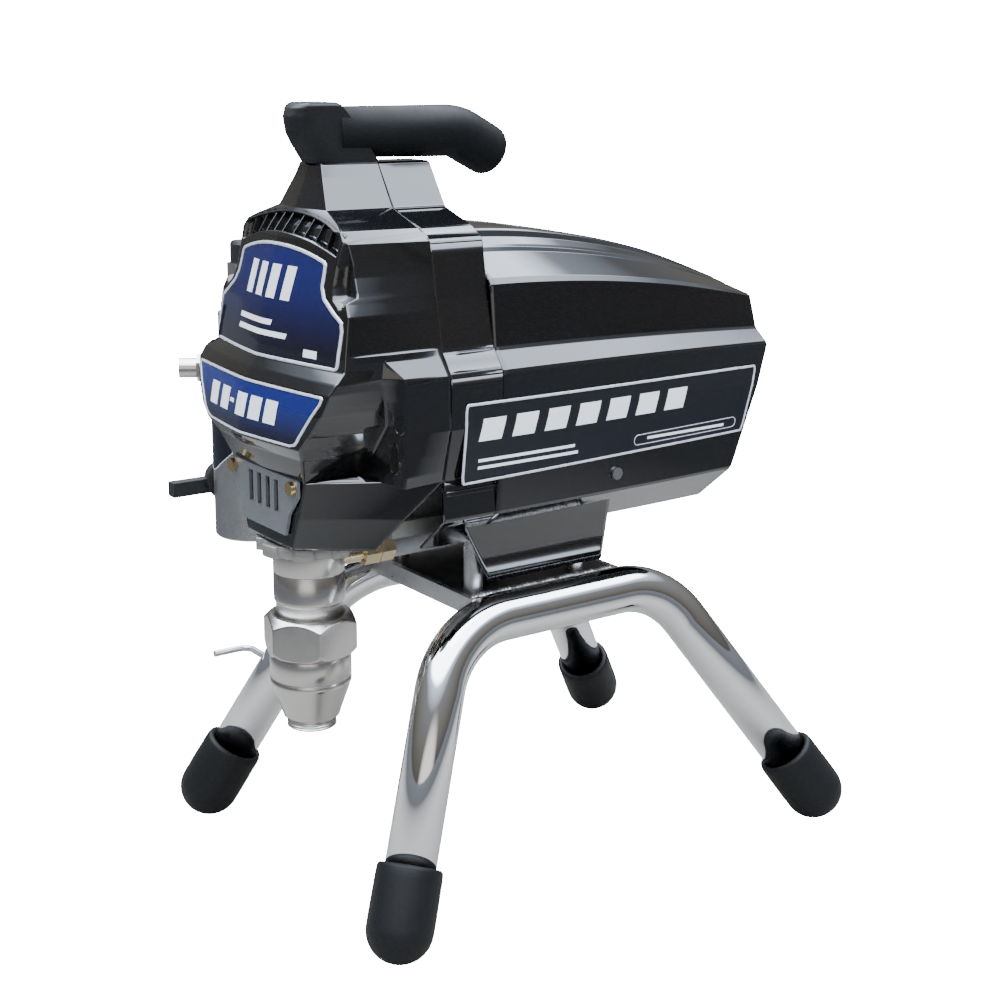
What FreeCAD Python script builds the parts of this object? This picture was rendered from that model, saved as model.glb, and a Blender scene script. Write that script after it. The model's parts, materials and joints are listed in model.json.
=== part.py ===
import FreeCAD, Part
import math
import os
import re

import Sketcher
from FreeCAD import Placement, Rotation, Vector

# Airless paint sprayer. Millimetres, +Z up, the floor at z = 0, the nose towards -Y.
# x = 0 is the plane of symmetry of the frame, the pump and the covers.

os.makedirs("parts", exist_ok=True)
doc = FreeCAD.newDocument("airless_sprayer")
sheet = doc.addObject("Spreadsheet::Sheet", "sizes")

driving = {
    # stand
    "tube_radius": 16, "tube_wall": 2, "bend_radius": 62,
    "rail_x": 69, "rail_z": 181, "splay_angle": 19.6,
    "front_corner_y": -101, "rear_corner_y": 70, "foot_y": 176,
    "foot_radius": 21, "foot_flat": 0.8, "foot_rim": 38,
    "plate_rise": 13, "plate_thickness": 4, "plate_front": -76, "plate_rear": 40,
    "bar_height": 12, "bar_thickness": 4,
    "post_radius": 6.3, "post_x": 44, "front_post_y": -66, "rear_post_y": 18,
    "hook_radius": 2.5, "hook_reach": 50, "hook_length": 27, "hook_height": 112,
    # pump
    "pump_y": -162.5, "pump_drop": 86, "cylinder_radius": 22.8, "piston_bore": 14,
    "neck_radius": 21.5, "intake_radius": 26.25, "thread_radius": 16.05, "inlet_radius": 11,
    "chamber_radius": 15, "nut_flats": 27.2, "rod_radius": 8, "stroke": 20,
    "gland_radius": 17, "intake_ball_radius": 9.5, "piston_ball_radius": 5, "ball_lift": 3,
    "ring_radius": 28.8, "lug_reach": 33, "pin_radius": 4, "tongue_half": 5,
    "running_gap": 0.05, "side_gap": 0.3,
    # drive
    "crank_z": 148, "crank_pin_radius": 6, "shaft_radius": 10, "crank_module": 1.5,
    "crank_teeth": 48, "pinion_teeth": 14, "wheel_module": 1.25, "wheel_teeth": 56,
    "case_half_width": 45, "case_wall": 4, "case_bottom": 46, "front_wall_y": -147,
    "front_wall": 14, "case_depth": 36, "rear_wall": 6, "pivot_radius": 5,
    # motor
    "motor_radius": 48, "motor_wall": 3, "motor_length": 151, "bell_length": 10,
    "motor_shaft_radius": 5, "armature_radius": 40.2, "fan_radius": 42,
    # covers
    "cover_wall": 2.5, "seam_y": -116,
    "handle_half_width": 12.4, "grip_radius": 16.2, "grip_z": 290, "grip_bar_radius": 10,
    "shroud_half_width": 92, "crown_half_width": 58,
    # manifold
    "manifold_x": -85, "manifold_y": -157, "manifold_radius": 25, "manifold_upper_radius": 19,
    "filter_bore": 14, "outlet_radius": 6.58, "valve_radius": 11, "lever_hub_radius": 14,
    "hose_radius": 7,
    # control panel
    "knob_radius": 14, "knob_shaft_radius": 3,
}

# Lengths that follow from the driving ones.
derived = {
    "deck_z": "rail_z + plate_rise",
    "pump_z": "deck_z - pump_drop",
    "crank_throw": "stroke / 2",
    "mesh_distance": "crank_module * (crank_teeth + pinion_teeth) / 2",
    "wheel_distance": "wheel_module * (wheel_teeth + pinion_teeth) / 2",
    "crank_axis_z": "deck_z + crank_z",
    "lay_axis_z": "crank_axis_z - mesh_distance",
    "motor_axis_z": "lay_axis_z + wheel_distance",
    "ball_rise": "33.55 + sqrt(intake_ball_radius * intake_ball_radius - 8 * 8)",
    "ball_stop": "ball_rise + intake_ball_radius + ball_lift + 0.1",
    "rod_top": "pump_drop + 68 + stroke + 2",
    "tongue_top": "rod_top + stroke + 15",
    "rod_eye": "crank_z + pump_drop + crank_throw",
    "case_rear_y": "front_wall_y + front_wall + case_depth",
    "leg_length": "(rail_z - foot_radius + foot_flat) / cos(splay_angle)",
}

for row, (name, size) in enumerate(driving.items(), 1):
    sheet.set(f"A{row}", name)
    sheet.set(f"B{row}", str(size))
    sheet.setAlias(f"B{row}", name)
doc.recompute()

nodes = []


def formula(text):
    """Spells a formula in the sheet's cells."""

    def spell(match):
        word = match.group()
        if word in derived:
            return "(" + formula(derived[word]) + ")"
        return "sizes." + word if word in driving else word

    return re.sub(r"[a-z][a-z0-9_]*", spell, str(text))


def number(text):
    """Works a formula out. Angles in the sheet are degrees."""
    return float(sheet.evalExpression(formula(text)))


def place(obj, at, turn=None):
    """Puts an object at three formulas, turned by a rotation."""
    obj.Placement = Placement(Vector(), turn or Rotation())
    for letter, text in zip("xyz", at or ()):
        obj.setExpression("Placement.Base." + letter, formula(text))
    return obj


def node(obj, label):
    obj.Label = label
    nodes.append(obj)
    return obj


def sketch_outline(body, plane_role, points):
    """A closed outline on one of the body's own planes, every corner bound to the sheet."""
    sketch = body.newObject("Sketcher::SketchObject", body.Name + "_outline")
    plane = [f for f in body.Origin.OriginFeatures if f.Role == plane_role][0]
    sketch.AttachmentSupport = [(plane, "")]
    sketch.MapMode = "FlatFace"
    corners = [Vector(number(a), number(b), 0) for a, b in points]
    count = len(corners)
    for i in range(count):
        sketch.addGeometry(Part.LineSegment(corners[i], corners[(i + 1) % count]), False)
    for i in range(count):
        sketch.addConstraint(Sketcher.Constraint("Coincident", i, 2, (i + 1) % count, 1))
    for i, texts in enumerate(points):
        for kind, axis, text, size in zip(("DistanceX", "DistanceY"), (-2, -1), texts, corners[i]):
            if abs(size) < 1e-9:
                sketch.addConstraint(Sketcher.Constraint("PointOnObject", i, 1, axis))
                continue
            index = sketch.addConstraint(Sketcher.Constraint(kind, -1, 1, i, 1, size))
            sketch.setExpression(f"Constraints[{index}]", formula(text))
    return sketch


def turned(name, points, at, turn=None):
    """A body turned about its own Z axis from an outline of (radius, height) corners."""
    body = doc.addObject("PartDesign::Body", name)
    feature = body.newObject("PartDesign::Revolution", name + "_turn")
    sketch = sketch_outline(body, "XZ_Plane", points)
    feature.Profile = sketch
    feature.ReferenceAxis = (sketch, ["V_Axis"])
    feature.Angle = 360
    body.Tip = feature
    return place(body, at, turn)


def plate(name, points, thickness, at, turn=None):
    """A body padded up its own Z axis from an outline of (x, y) corners."""
    body = doc.addObject("PartDesign::Body", name)
    feature = body.newObject("PartDesign::Pad", name + "_pad")
    feature.Profile = sketch_outline(body, "XY_Plane", points)
    feature.setExpression("Length", formula(thickness))
    body.Tip = feature
    return place(body, at, turn)


along_y = Rotation(Vector(1, 0, 0), -90)
along_x = Rotation(Vector(0, 1, 0), 90)


def cylinder(name, radius, height, at, turn=None):
    obj = doc.addObject("Part::Cylinder", name)
    obj.setExpression("Radius", formula(radius))
    obj.setExpression("Height", formula(height))
    return place(obj, at, turn)


def ball(name, radius, at):
    obj = doc.addObject("Part::Sphere", name)
    obj.setExpression("Radius", formula(radius))
    return place(obj, at)


def box(name, x, y, z):
    """A box between three pairs of formulas."""
    obj = doc.addObject("Part::Box", name)
    for side, (low, high) in zip(("Length", "Width", "Height"), (x, y, z)):
        obj.setExpression(side, formula(f"({high}) - ({low})"))
    return place(obj, (x[0], y[0], z[0]))


def fuse(name, *parts):
    obj = doc.addObject("Part::MultiFuse", name)
    obj.Shapes = list(parts)
    return obj


def cut(name, base, *tools):
    obj = doc.addObject("Part::Cut", name)
    obj.Base = base
    obj.Tool = tools[0] if len(tools) == 1 else fuse(name + "_tools", *tools)
    return obj


def common(name, a, b):
    obj = doc.addObject("Part::MultiCommon", name)
    obj.Shapes = [a, b]
    return obj


def group(name, *parts):
    """Separate solids of one kind, kept as one node."""
    obj = doc.addObject("Part::Compound", name)
    obj.Links = list(parts)
    return obj


def feature(name, shape, at=None):
    obj = doc.addObject("Part::Feature", name)
    obj.Shape = shape
    if at:
        obj.Placement = at
    return obj


def rounded_path(points, radius):
    """Straight runs joined by arcs that touch both of their runs."""
    edges = []
    start = points[0]
    for i in range(1, len(points) - 1):
        before = (points[i - 1] - points[i]).normalize()
        after = (points[i + 1] - points[i]).normalize()
        half = before.getAngle(after) / 2
        reach = radius / math.tan(half)
        first = points[i] + before * reach
        last = points[i] + after * reach
        middle = (before + after).normalize()
        centre = points[i] + middle * (radius / math.sin(half))
        edges.append(Part.LineSegment(start, first).toShape())
        edges.append(Part.Arc(first, centre - middle * radius, last).toShape())
        start = last
    edges.append(Part.LineSegment(start, points[-1]).toShape())
    return Part.Wire(edges)


def piped(points, radius, bend):
    """A round bar along a path of points."""
    path = rounded_path(points, bend)
    circle = Part.Circle(points[0], points[1] - points[0], radius).toShape()
    return path.makePipeShell([Part.Wire(circle)], True, False)


# ---- stand ----

def leg_points(side):
    """The bent rail of one side, from its front foot to its rear foot."""
    splay = math.radians(number("splay_angle"))
    foot_drop = number("leg_length") - 1
    flat = ((-number("foot_y"), foot_drop), (number("front_corner_y"), 0),
            (number("rear_corner_y"), 0), (number("foot_y"), foot_drop))
    top_x = number("rail_x")
    top_z = number("rail_z")
    return [Vector(side * (top_x + s * math.sin(splay)), y, top_z - s * math.cos(splay))
            for y, s in flat]


def rail_shape(side, radius):
    return piped(leg_points(side), radius, number("bend_radius"))


def make_stand():
    radius = number("tube_radius")
    bore = radius - number("tube_wall")
    for side, label in ((1, "frame_tube_right"), (-1, "frame_tube_left")):
        outer = feature(label + "_outer", rail_shape(side, radius))
        inner = feature(label + "_bore", rail_shape(side, bore))
        node(cut(label, outer, inner), label)
    rails = feature("rails", Part.Compound([rail_shape(1, radius), rail_shape(-1, radius)]))

    top = box("plate_blank", ("-rail_x + 8", "rail_x - 8"), ("plate_front", "plate_rear"),
              ("deck_z - plate_thickness", "deck_z"))
    holes = [cylinder(f"plate_hole_{i}", "3.1", "plate_thickness + 2",
                      (f"{sx} * post_x", y, "deck_z - plate_thickness - 1"))
             for i, (sx, y) in enumerate(post_places())]
    node(cut("plate_cut", top, rails, *holes), "frame_plate")
    bars = []
    for start in ("plate_front - bar_thickness", "plate_rear"):
        bar = box(f"bar_{len(bars)}", ("-rail_x + 6", "rail_x - 6"),
                  (start, f"{start} + bar_thickness"), ("deck_z - bar_height", "deck_z"))
        bars.append(cut(f"bar_coped_{len(bars)}", bar, rails))
    node(group("bars", *bars), "cross_bars")


def post_places():
    return [(sx, y) for y in ("front_post_y", "rear_post_y") for sx in (1, -1)]


def make_feet():
    dome = [math.radians(angle) for angle in range(0, 90, 15)]
    cap = [(f"foot_radius * {math.sin(a):.4f}", f"-foot_radius * {math.cos(a):.4f}") for a in dome]
    cap += [("foot_radius", "0"), ("foot_radius - 0.6", "foot_rim - 1.5"),
            ("foot_radius - 2", "foot_rim"), ("tube_radius", "foot_rim"), ("tube_radius", "1"),
            ("0", "1")]
    boots = []
    for side in (1, -1):
        points = leg_points(side)
        for end, corner in ((points[0], points[1]), (points[3], points[2])):
            up = (corner - end).normalize()
            boot = turned(f"boot_{len(boots)}", cap, None)
            boot.Placement = Placement(end - up, Rotation(Vector(0, 0, 1), up))
            floor = box(f"boot_floor_{len(boots)}", (-400, 400), (-400, 400), (-60, 0))
            boots.append(cut(f"boot_cut_{len(boots)}", boot, floor))
    node(group("boots", *boots), "rubber_feet")


def make_hook():
    """A bent rod on the outside of the front left leg."""
    points = leg_points(-1)
    height = number("hook_height")
    share = (height - points[0].z) / (points[1].z - points[0].z)
    leg = points[0] + (points[1] - points[0]) * share
    elbow = Vector(leg.x - number("hook_reach"), leg.y, height)
    tip = elbow - Vector(0, number("hook_length"), 0)
    rod = feature("hook_rod", piped([leg, elbow, tip], number("hook_radius"), 8))
    node(cut("hook_cut", rod, feature("hook_leg", rail_shape(-1, number("tube_radius")))),
         "pail_hook")


def make_posts():
    posts = []
    screws = []
    for i, (sx, y) in enumerate(post_places()):
        column = cylinder(f"post_{i}", "post_radius", "case_bottom", (f"{sx} * post_x", y, "deck_z"))
        thread = cylinder(f"post_thread_{i}", "3", "16", (f"{sx} * post_x", y, "deck_z"))
        posts.append(cut(f"post_tapped_{i}", column, thread))
        outline = [("0", "0"), ("5", "0"), ("5", "5"), ("3", "5"),
                   ("3", "5 + plate_thickness + 14"), ("0", "5 + plate_thickness + 14")]
        screws.append(turned(f"deck_screw_{i}", outline,
                             (f"{sx} * post_x", y, "deck_z - plate_thickness - 5")))
    node(group("posts", *posts), "support_posts")
    node(group("deck_screw_set", *screws), "deck_screws")


# ---- pump: heights are above the tip of the intake ----

def pump_turned(name, points, label, turn=None):
    return node(turned(name, points, ("0", "pump_y", "pump_z"), turn), label)


def make_pump():
    pump_turned("intake", [
        ("inlet_radius", "0"), ("thread_radius", "0"), ("thread_radius", "7"), ("18.5", "7"),
        ("intake_radius", "30"), ("intake_radius", "51"), ("neck_radius - 0.5", "51"),
        ("neck_radius - 0.5", "69"), ("chamber_radius", "69"), ("chamber_radius", "30"),
        ("inlet_radius", "30")], "intake_housing")
    pump_turned("seat", [
        ("8", "30"), ("chamber_radius", "30"), ("chamber_radius", "36"), ("10.5", "36"),
        ("8", "33.5")], "intake_seat")
    pump_turned("cage", [
        ("5", "ball_stop"), ("chamber_radius", "ball_stop"), ("chamber_radius", "ball_stop + 4"),
        ("5", "ball_stop + 4")],
        "intake_ball_stop")
    prism = doc.addObject("Part::Prism", "nut_prism")
    prism.Polygon = 6
    prism.setExpression("Circumradius", formula("nut_flats / cos(30)"))
    prism.Height = 26
    place(prism, ("0", "pump_y", "pump_z + 51"), Rotation(Vector(0, 0, 1), 12))
    round_over = turned("nut_round", [
        ("0", "51"), ("nut_flats + 1", "51"), ("nut_flats + 4.3", "54"),
        ("nut_flats + 4.3", "72"), ("nut_flats - 1", "77"), ("0", "77")],
        ("0", "pump_y", "pump_z"))
    nut_bore = turned("nut_bore", [
        ("0", "50"), ("neck_radius - 0.5", "50"), ("neck_radius - 0.5", "69"),
        ("neck_radius", "69"), ("neck_radius", "78"), ("0", "78")], ("0", "pump_y", "pump_z"))
    node(cut("nut", common("nut_blank", prism, round_over), nut_bore), "pump_lower_nut")

    tube = turned("cylinder_tube", [
        ("piston_bore", "69"), ("neck_radius", "69"), ("neck_radius", "85"),
        ("cylinder_radius - 0.8", "86"), ("cylinder_radius", "87.5"),
        ("cylinder_radius", "pump_drop + 60"), ("gland_radius", "pump_drop + 60"),
        ("gland_radius", "pump_drop + 40"), ("piston_bore", "pump_drop + 40")],
        ("0", "pump_y", "pump_z"))
    port = cylinder("outlet_port", "5", "cylinder_radius + 4",
                    ("4", "pump_y + piston_bore - 2", "pump_z + 111"), along_y)
    node(cut("cylinder_cut", tube, port), "pump_cylinder")

    ring = turned("ring_blank", [
        ("cylinder_radius", "119"), ("ring_radius", "119"), ("ring_radius", "127"),
        ("cylinder_radius", "127")], ("0", "pump_y", "pump_z"))
    lugs = []
    for i in range(8):
        lug = doc.addObject("Part::Box", f"ring_lug_{i}")
        lug.setExpression("Length", formula("lug_reach - cylinder_radius - 2"))
        lug.Width = 9
        lug.Height = 8
        turn = Rotation(Vector(0, 0, 1), 45 * i + 10)
        start = turn.multVec(Vector(number("cylinder_radius") + 2, -4.5, 0))
        place(lug, (start.x, f"pump_y + {start.y}", "pump_z + 119"), turn)
        lugs.append(lug)
    node(fuse("ring", ring, *lugs), "pump_jam_nut")

    gap = "rod_radius + running_gap"
    pump_turned("packings", [
        (gap, "pump_drop + 40"), ("gland_radius", "pump_drop + 40"),
        ("gland_radius", "pump_drop + 52"), (gap, "pump_drop + 52")], "throat_packings")
    pump_turned("gland", [
        (gap, "pump_drop + 52"), ("gland_radius", "pump_drop + 52"),
        ("gland_radius", "pump_drop + 60"), ("gland_radius + 3", "pump_drop + 60"),
        ("gland_radius + 3", "pump_drop + 68"), (gap, "pump_drop + 68")], "packing_nut")


def make_pump_rod():
    base = "pump_drop"
    rod = turned("rod_bar", [
        ("3.5", base), ("11", base), ("11", base + " + 36"), ("rod_radius", base + " + 38"),
        ("rod_radius", "rod_top"), ("0", "rod_top"), ("0", base + " + 22"),
        ("piston_ball_radius + 1.2", base + " + 20"), ("piston_ball_radius + 1.2", base + " + 6"),
        ("3.5", base + " + 6")], ("0", "pump_y", "pump_z"))
    tongue = box("tongue", ("-rod_radius", "rod_radius"),
                 ("pump_y - tongue_half", "pump_y + tongue_half"),
                 ("pump_z + rod_top - 1", "pump_z + tongue_top"))
    eye = cylinder("tongue_hole", "pin_radius", "2 * tongue_half + 2",
                   ("0", "pump_y - tongue_half - 1", "pump_z + tongue_top - 7"), along_y)
    side_ports = [cylinder("rod_port_x", "2.5", "30", ("-15", "pump_y", "deck_z + 17"), along_x),
                  cylinder("rod_port_y", "2.5", "30", ("0", "pump_y - 15", "deck_z + 17"), along_y)]
    node(cut("rod", fuse("rod_blank", rod, tongue), eye, *side_ports), "pump_rod")
    node(cylinder("wrist", "pin_radius", "2 * tongue_half",
                  ("0", "pump_y - tongue_half", "pump_z + tongue_top - 7"), along_y), "wrist_pin")
    pump_turned("seals", [
        ("11", base + " + 22"), ("piston_bore - running_gap", base + " + 22"),
        ("piston_bore - running_gap", base + " + 34"), ("11", base + " + 34")], "piston_seals")
    seat_rise = "sqrt(piston_ball_radius * piston_ball_radius - 3.5 * 3.5)"
    node(ball("upper_ball", "piston_ball_radius",
              ("0", "pump_y", f"deck_z + 6.05 + {seat_rise}")), "piston_ball")
    node(ball("lower_ball", "intake_ball_radius", ("0", "pump_y", "pump_z + ball_rise")),
         "intake_ball")


# ---- drive ----

def gear_face(teeth, module, phase):
    """One spur gear: each flank is the involute of the base circle, thinned for backlash."""
    pitch = module * teeth / 2
    pressure = math.radians(20)
    base = pitch * math.cos(pressure)
    tip = pitch + 0.8 * module
    root = pitch - 1.15 * module
    half_tooth = math.pi / (2 * teeth) - 0.1 / pitch
    involute_at_pitch = math.tan(pressure) - pressure
    low = max(base, root)
    flank = []
    for step in range(4):
        radius = low + (tip - low) * step / 3
        roll = math.acos(min(1.0, base / radius))
        flank.append((radius, half_tooth + involute_at_pitch - (math.tan(roll) - roll)))
    points = []
    for tooth in range(teeth):
        middle = phase + 2 * math.pi * tooth / teeth
        ends = [(root, flank[0][1])] if root < low else []
        rising = ends + flank
        points += [(r, middle - a) for r, a in rising]
        points += [(r, middle + a) for r, a in reversed(rising)]
    corners = [Vector(r * math.cos(a), 0, r * math.sin(a)) for r, a in points]
    return Part.Face(Part.makePolygon(corners + corners[:1]))


def gear(name, teeth, module, phase, y, width, axis_z):
    """A gear about a Y axis, from y towards +Y."""
    shape = gear_face(int(teeth), module, phase).extrude(Vector(0, width, 0))
    return feature(name, shape, Placement(Vector(0, y, axis_z), Rotation()))


def bar_y(name, radius, start, end, axis_z):
    return cylinder(name, radius, f"({end}) - ({start})", ("0", start, axis_z), along_y)


crank_gear_y = "front_wall_y + front_wall + side_gap"
wheel_y = "front_wall_y + front_wall + 16.5"


def make_crank():
    eye_front = "pump_y - 9.5"
    disc_front = "pump_y + 9.6"
    gear_y = number(crank_gear_y)
    toothed = gear("crank_teeth", number("crank_teeth"), number("crank_module"),
                   -math.pi / 2, gear_y, 14, number("crank_axis_z"))
    node(fuse("crank", toothed,
              bar_y("crank_shaft", "shaft_radius", "front_wall_y - 1", crank_gear_y, "crank_axis_z"),
              bar_y("crank_disc", "crank_throw + crank_pin_radius + 4", disc_front,
                    "front_wall_y - side_gap", "crank_axis_z"),
              bar_y("crank_pin", "crank_pin_radius", eye_front, disc_front,
                    "crank_axis_z + crank_throw")), "crankshaft_gear")
    race = bar_y("crank_race", "17", "front_wall_y", "front_wall_y + front_wall", "crank_axis_z")
    hole = bar_y("crank_race_bore", "shaft_radius + running_gap", "front_wall_y - 1",
                 "front_wall_y + front_wall + 1", "crank_axis_z")
    node(cut("crank_ring", race, hole), "crank_bearing")


def make_connecting_rod():
    eye_z = "pump_z + rod_eye"
    slot_top = "pump_z + tongue_top + stroke + 0.5"
    thick = ("pump_y - 9.3", "pump_y + 9.3")
    shank = box("con_shank", ("-9", "9"), thick, ("pump_z + rod_top + stroke + 0.5", eye_z))
    eye = bar_y("con_eye", "crank_pin_radius + 6.5", *thick, eye_z)
    bore = bar_y("con_bore", "crank_pin_radius + running_gap", "pump_y - 12", "pump_y + 12", eye_z)
    slot = box("con_slot", ("-12", "12"),
               ("pump_y - tongue_half - side_gap", "pump_y + tongue_half + side_gap"),
               ("pump_z + rod_top", slot_top))
    node(cut("con_rod", fuse("con_blank", shank, eye), bore, slot), "connecting_rod")


def make_lay_gear():
    pinion_phase = math.pi / 2 + math.pi / 14
    pinion = gear("lay_pinion", number("pinion_teeth"), number("crank_module"), pinion_phase,
                  number(crank_gear_y), 15, number("lay_axis_z"))
    wheel = gear("lay_wheel", number("wheel_teeth"), number("wheel_module"), math.pi / 2,
                 number(wheel_y), 10, number("lay_axis_z"))
    shaft = bar_y("lay_shaft", "pivot_radius", "front_wall_y + front_wall - 7.7",
                  "case_rear_y + 4.7", "lay_axis_z")
    node(fuse("lay", pinion, wheel, shaft), "intermediate_gear")
    bushes = []
    for name, start, end in (("lay_bush_front", "front_wall_y + front_wall - 8",
                              "front_wall_y + front_wall"),
                             ("lay_bush_rear", "case_rear_y", "case_rear_y + 5")):
        outer = bar_y(name, "pivot_radius + 3", start, end, "lay_axis_z")
        inner = bar_y(name + "_bore", "pivot_radius + running_gap", f"{start} - 1", f"{end} + 1",
                      "lay_axis_z")
        bushes.append(cut(name + "_cut", outer, inner))
    node(group("lay_bushes", *bushes), "intermediate_bushes")


def make_drive_housing():
    wall_y = ("front_wall_y", "front_wall_y + front_wall")
    half = ("-case_half_width", "case_half_width")
    floor_z = "deck_z + case_bottom"
    top_z = "crank_axis_z + 45"
    wall = box("housing_wall", half, wall_y, (floor_z, top_z))
    boss = cylinder("pump_boss", "cylinder_radius + 2.7", "22", ("0", "pump_y", floor_z))
    web = box("pump_web", ("-cylinder_radius - 2.7", "cylinder_radius + 2.7"),
              ("pump_y", "front_wall_y"), (floor_z, f"{floor_z} + 22"))
    ribs = [box(f"housing_rib_{i}", (f"{x} - 3", f"{x} + 3"), ("front_wall_y - 18", "front_wall_y"),
                (f"{floor_z} + 22", f"{floor_z} + 62")) for i, x in enumerate(("-32", "32"))]
    arm = box("manifold_arm", ("manifold_x + manifold_radius - 2", "-case_half_width"),
              ("manifold_y - 8", "front_wall_y + 8"), ("deck_z + 66", "deck_z + 92"))
    arm_foot = box("manifold_arm_foot", ("-case_half_width - 8", "-case_half_width + 4"),
                   ("front_wall_y - 4", "front_wall_y + 8"), ("deck_z + 66", "deck_z + 92"))
    pump_bore = cylinder("pump_bore", "cylinder_radius", "80", ("0", "pump_y", f"{floor_z} - 10"))
    crank_bore = bar_y("crank_bore", "17", "front_wall_y - 1", "front_wall_y + front_wall + 1",
                       "crank_axis_z")
    lay_pocket = bar_y("lay_pocket", "pivot_radius + 3", "front_wall_y + front_wall - 8",
                       "front_wall_y + front_wall + 1", "lay_axis_z")
    manifold_space = cylinder("manifold_space", "manifold_radius", "80",
                              ("manifold_x", "manifold_y", "deck_z + 50"))
    node(cut("housing", fuse("housing_blank", wall, boss, web, arm, arm_foot, *ribs), pump_bore,
             crank_bore, lay_pocket, manifold_space), "drive_housing")

    case_y = ("front_wall_y + front_wall", "case_rear_y + rear_wall")
    shell = box("case_shell", half, case_y, (floor_z, top_z))
    room = box("case_room", ("-case_half_width + case_wall", "case_half_width - case_wall"),
               ("front_wall_y + front_wall - 1", "case_rear_y"),
               (f"{floor_z} + 10", f"{top_z} - case_wall"))
    foot = box("case_foot", ("-post_x - 8", "post_x + 8"), (case_y[0], "front_post_y + 9"),
               (floor_z, f"{floor_z} + 10"))
    bearing_bore = bar_y("motor_front_bore", "13", "case_rear_y - 1", "case_rear_y + rear_wall + 1",
                         "motor_axis_z")
    lay_rear = bar_y("lay_rear_pocket", "pivot_radius + 3", "case_rear_y - 1", "case_rear_y + 5",
                     "lay_axis_z")
    node(cut("gear_case_cut", fuse("case_blank", shell, foot), room, bearing_bore, lay_rear),
         "gear_case")
    corners = [(x, z) for x in ("-case_half_width + 5", "case_half_width - 5")
               for z in (f"{floor_z} + 53", f"{top_z} - 12")]
    screws = []
    for i, (x, z) in enumerate(corners):
        outline = [("0", "0"), ("4.2", "0"), ("4.2", "4"), ("0", "4")]
        screws.append(turned(f"case_screw_{i}", outline, (x, "front_wall_y - 4", z), along_y))
    node(group("case_screw_set", *screws), "housing_screws")


# ---- motor ----

side_screw_x = "shroud_half_width - 6.5"
side_screw_rise = "deck_z + 74"


def ring_y(name, outer, inner, start, end, axis_z="motor_axis_z"):
    return cut(name, bar_y(name + "_outer", outer, start, end, axis_z),
               bar_y(name + "_inner", inner, f"{start} - 1", f"{end} + 1", axis_z))


def make_motor():
    front = "case_rear_y + rear_wall"
    can_start = f"{front} + bell_length"
    can_end = f"{can_start} + motor_length"
    rear = f"{can_end} + bell_length"
    bell = ring_y("front_bell", "motor_radius", "14", front, can_start)
    sleeve = ring_y("can_sleeve", "motor_radius", "motor_radius - motor_wall", can_start, can_end)
    node(fuse("can", bell, sleeve), "motor_can")
    node(ring_y("rear_bell", "motor_radius", "11", can_end, rear), "motor_rear_bell")

    ring = ring_y("magnet_ring", "motor_radius - motor_wall", "armature_radius + 1",
                  f"{can_start} + 20", f"{can_end} - 22")
    gaps = [box("magnet_gap_x", ("-80", "80"), (can_start, can_end),
                ("motor_axis_z - 4", "motor_axis_z + 4")),
            box("magnet_gap_z", ("-4", "4"), (can_start, can_end),
                ("motor_axis_z - 80", "motor_axis_z + 80"))]
    node(cut("magnets", ring, *gaps), "motor_magnets")

    shaft = bar_y("shaft", "motor_shaft_radius", "case_rear_y - 14.5", f"{rear} + 18",
                  "motor_axis_z")
    teeth = gear("motor_pinion_teeth", number("pinion_teeth"), number("wheel_module"),
                 -math.pi / 2 + math.pi / 14, number(wheel_y) - 0.5, 11.5,
                 number("motor_axis_z"))
    node(fuse("pinion", shaft, teeth), "motor_pinion_shaft")
    stack = bar_y("stack", "armature_radius", f"{can_start} + 22", f"{can_end} - 24",
                  "motor_axis_z")
    coil = bar_y("coil", "armature_radius - 7", f"{can_start} + 8", f"{can_end} - 12",
                 "motor_axis_z")
    shaft_way = bar_y("stack_bore", "motor_shaft_radius", can_start, can_end, "motor_axis_z")
    node(cut("armature_cut", fuse("armature_blank", stack, coil), shaft_way), "armature")
    blades = [ring_y("fan_hub", "13", "motor_shaft_radius", f"{rear} + 4", f"{rear} + 16"),
              ring_y("fan_disc", "fan_radius", "motor_shaft_radius", f"{rear} + 4", f"{rear} + 6")]
    for i in range(9):
        blade = doc.addObject("Part::Box", f"fan_blade_{i}")
        blade.setExpression("Length", formula("fan_radius - 12.5"))
        blade.Width = 10
        blade.Height = 2
        turn = Rotation(Vector(0, 1, 0), 40 * i)
        start = turn.multVec(Vector(12, 0, -1))
        place(blade, (start.x, f"{rear} + 6", f"motor_axis_z + {start.z}"), turn)
        blades.append(blade)
    node(fuse("fan", *blades), "motor_fan")
    races = [ring_y("front_race", "13", "motor_shaft_radius + running_gap", "case_rear_y", front),
             ring_y("rear_race", "11", "motor_shaft_radius + running_gap", can_end, rear)]
    node(group("races", *races), "motor_bearings")

    cradle = box("cradle_block", ("-post_x - 8", "post_x + 8"),
                 ("rear_post_y - 13", "rear_post_y + 13"),
                 ("deck_z + case_bottom", "motor_axis_z - 20"))
    arms = box("cradle_arms", ("-shroud_half_width + 11.5", "shroud_half_width - 11.5"),
               ("rear_post_y - 8", "rear_post_y + 8"), ("deck_z + 66", "deck_z + 82"))
    taps = [cylinder(f"side_screw_tap_{i}", "3", "26", (x, "rear_post_y", side_screw_rise), along_x)
            for i, x in enumerate((f"-({side_screw_x}) - 14", f"{side_screw_x} - 12"))]
    node(cut("cradle", fuse("cradle_blank", cradle, arms), *taps,
             bar_y("cradle_way", "motor_radius", "rear_post_y - 30", "rear_post_y + 30",
                   "motor_axis_z")), "motor_cradle")


# ---- covers ----

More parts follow.
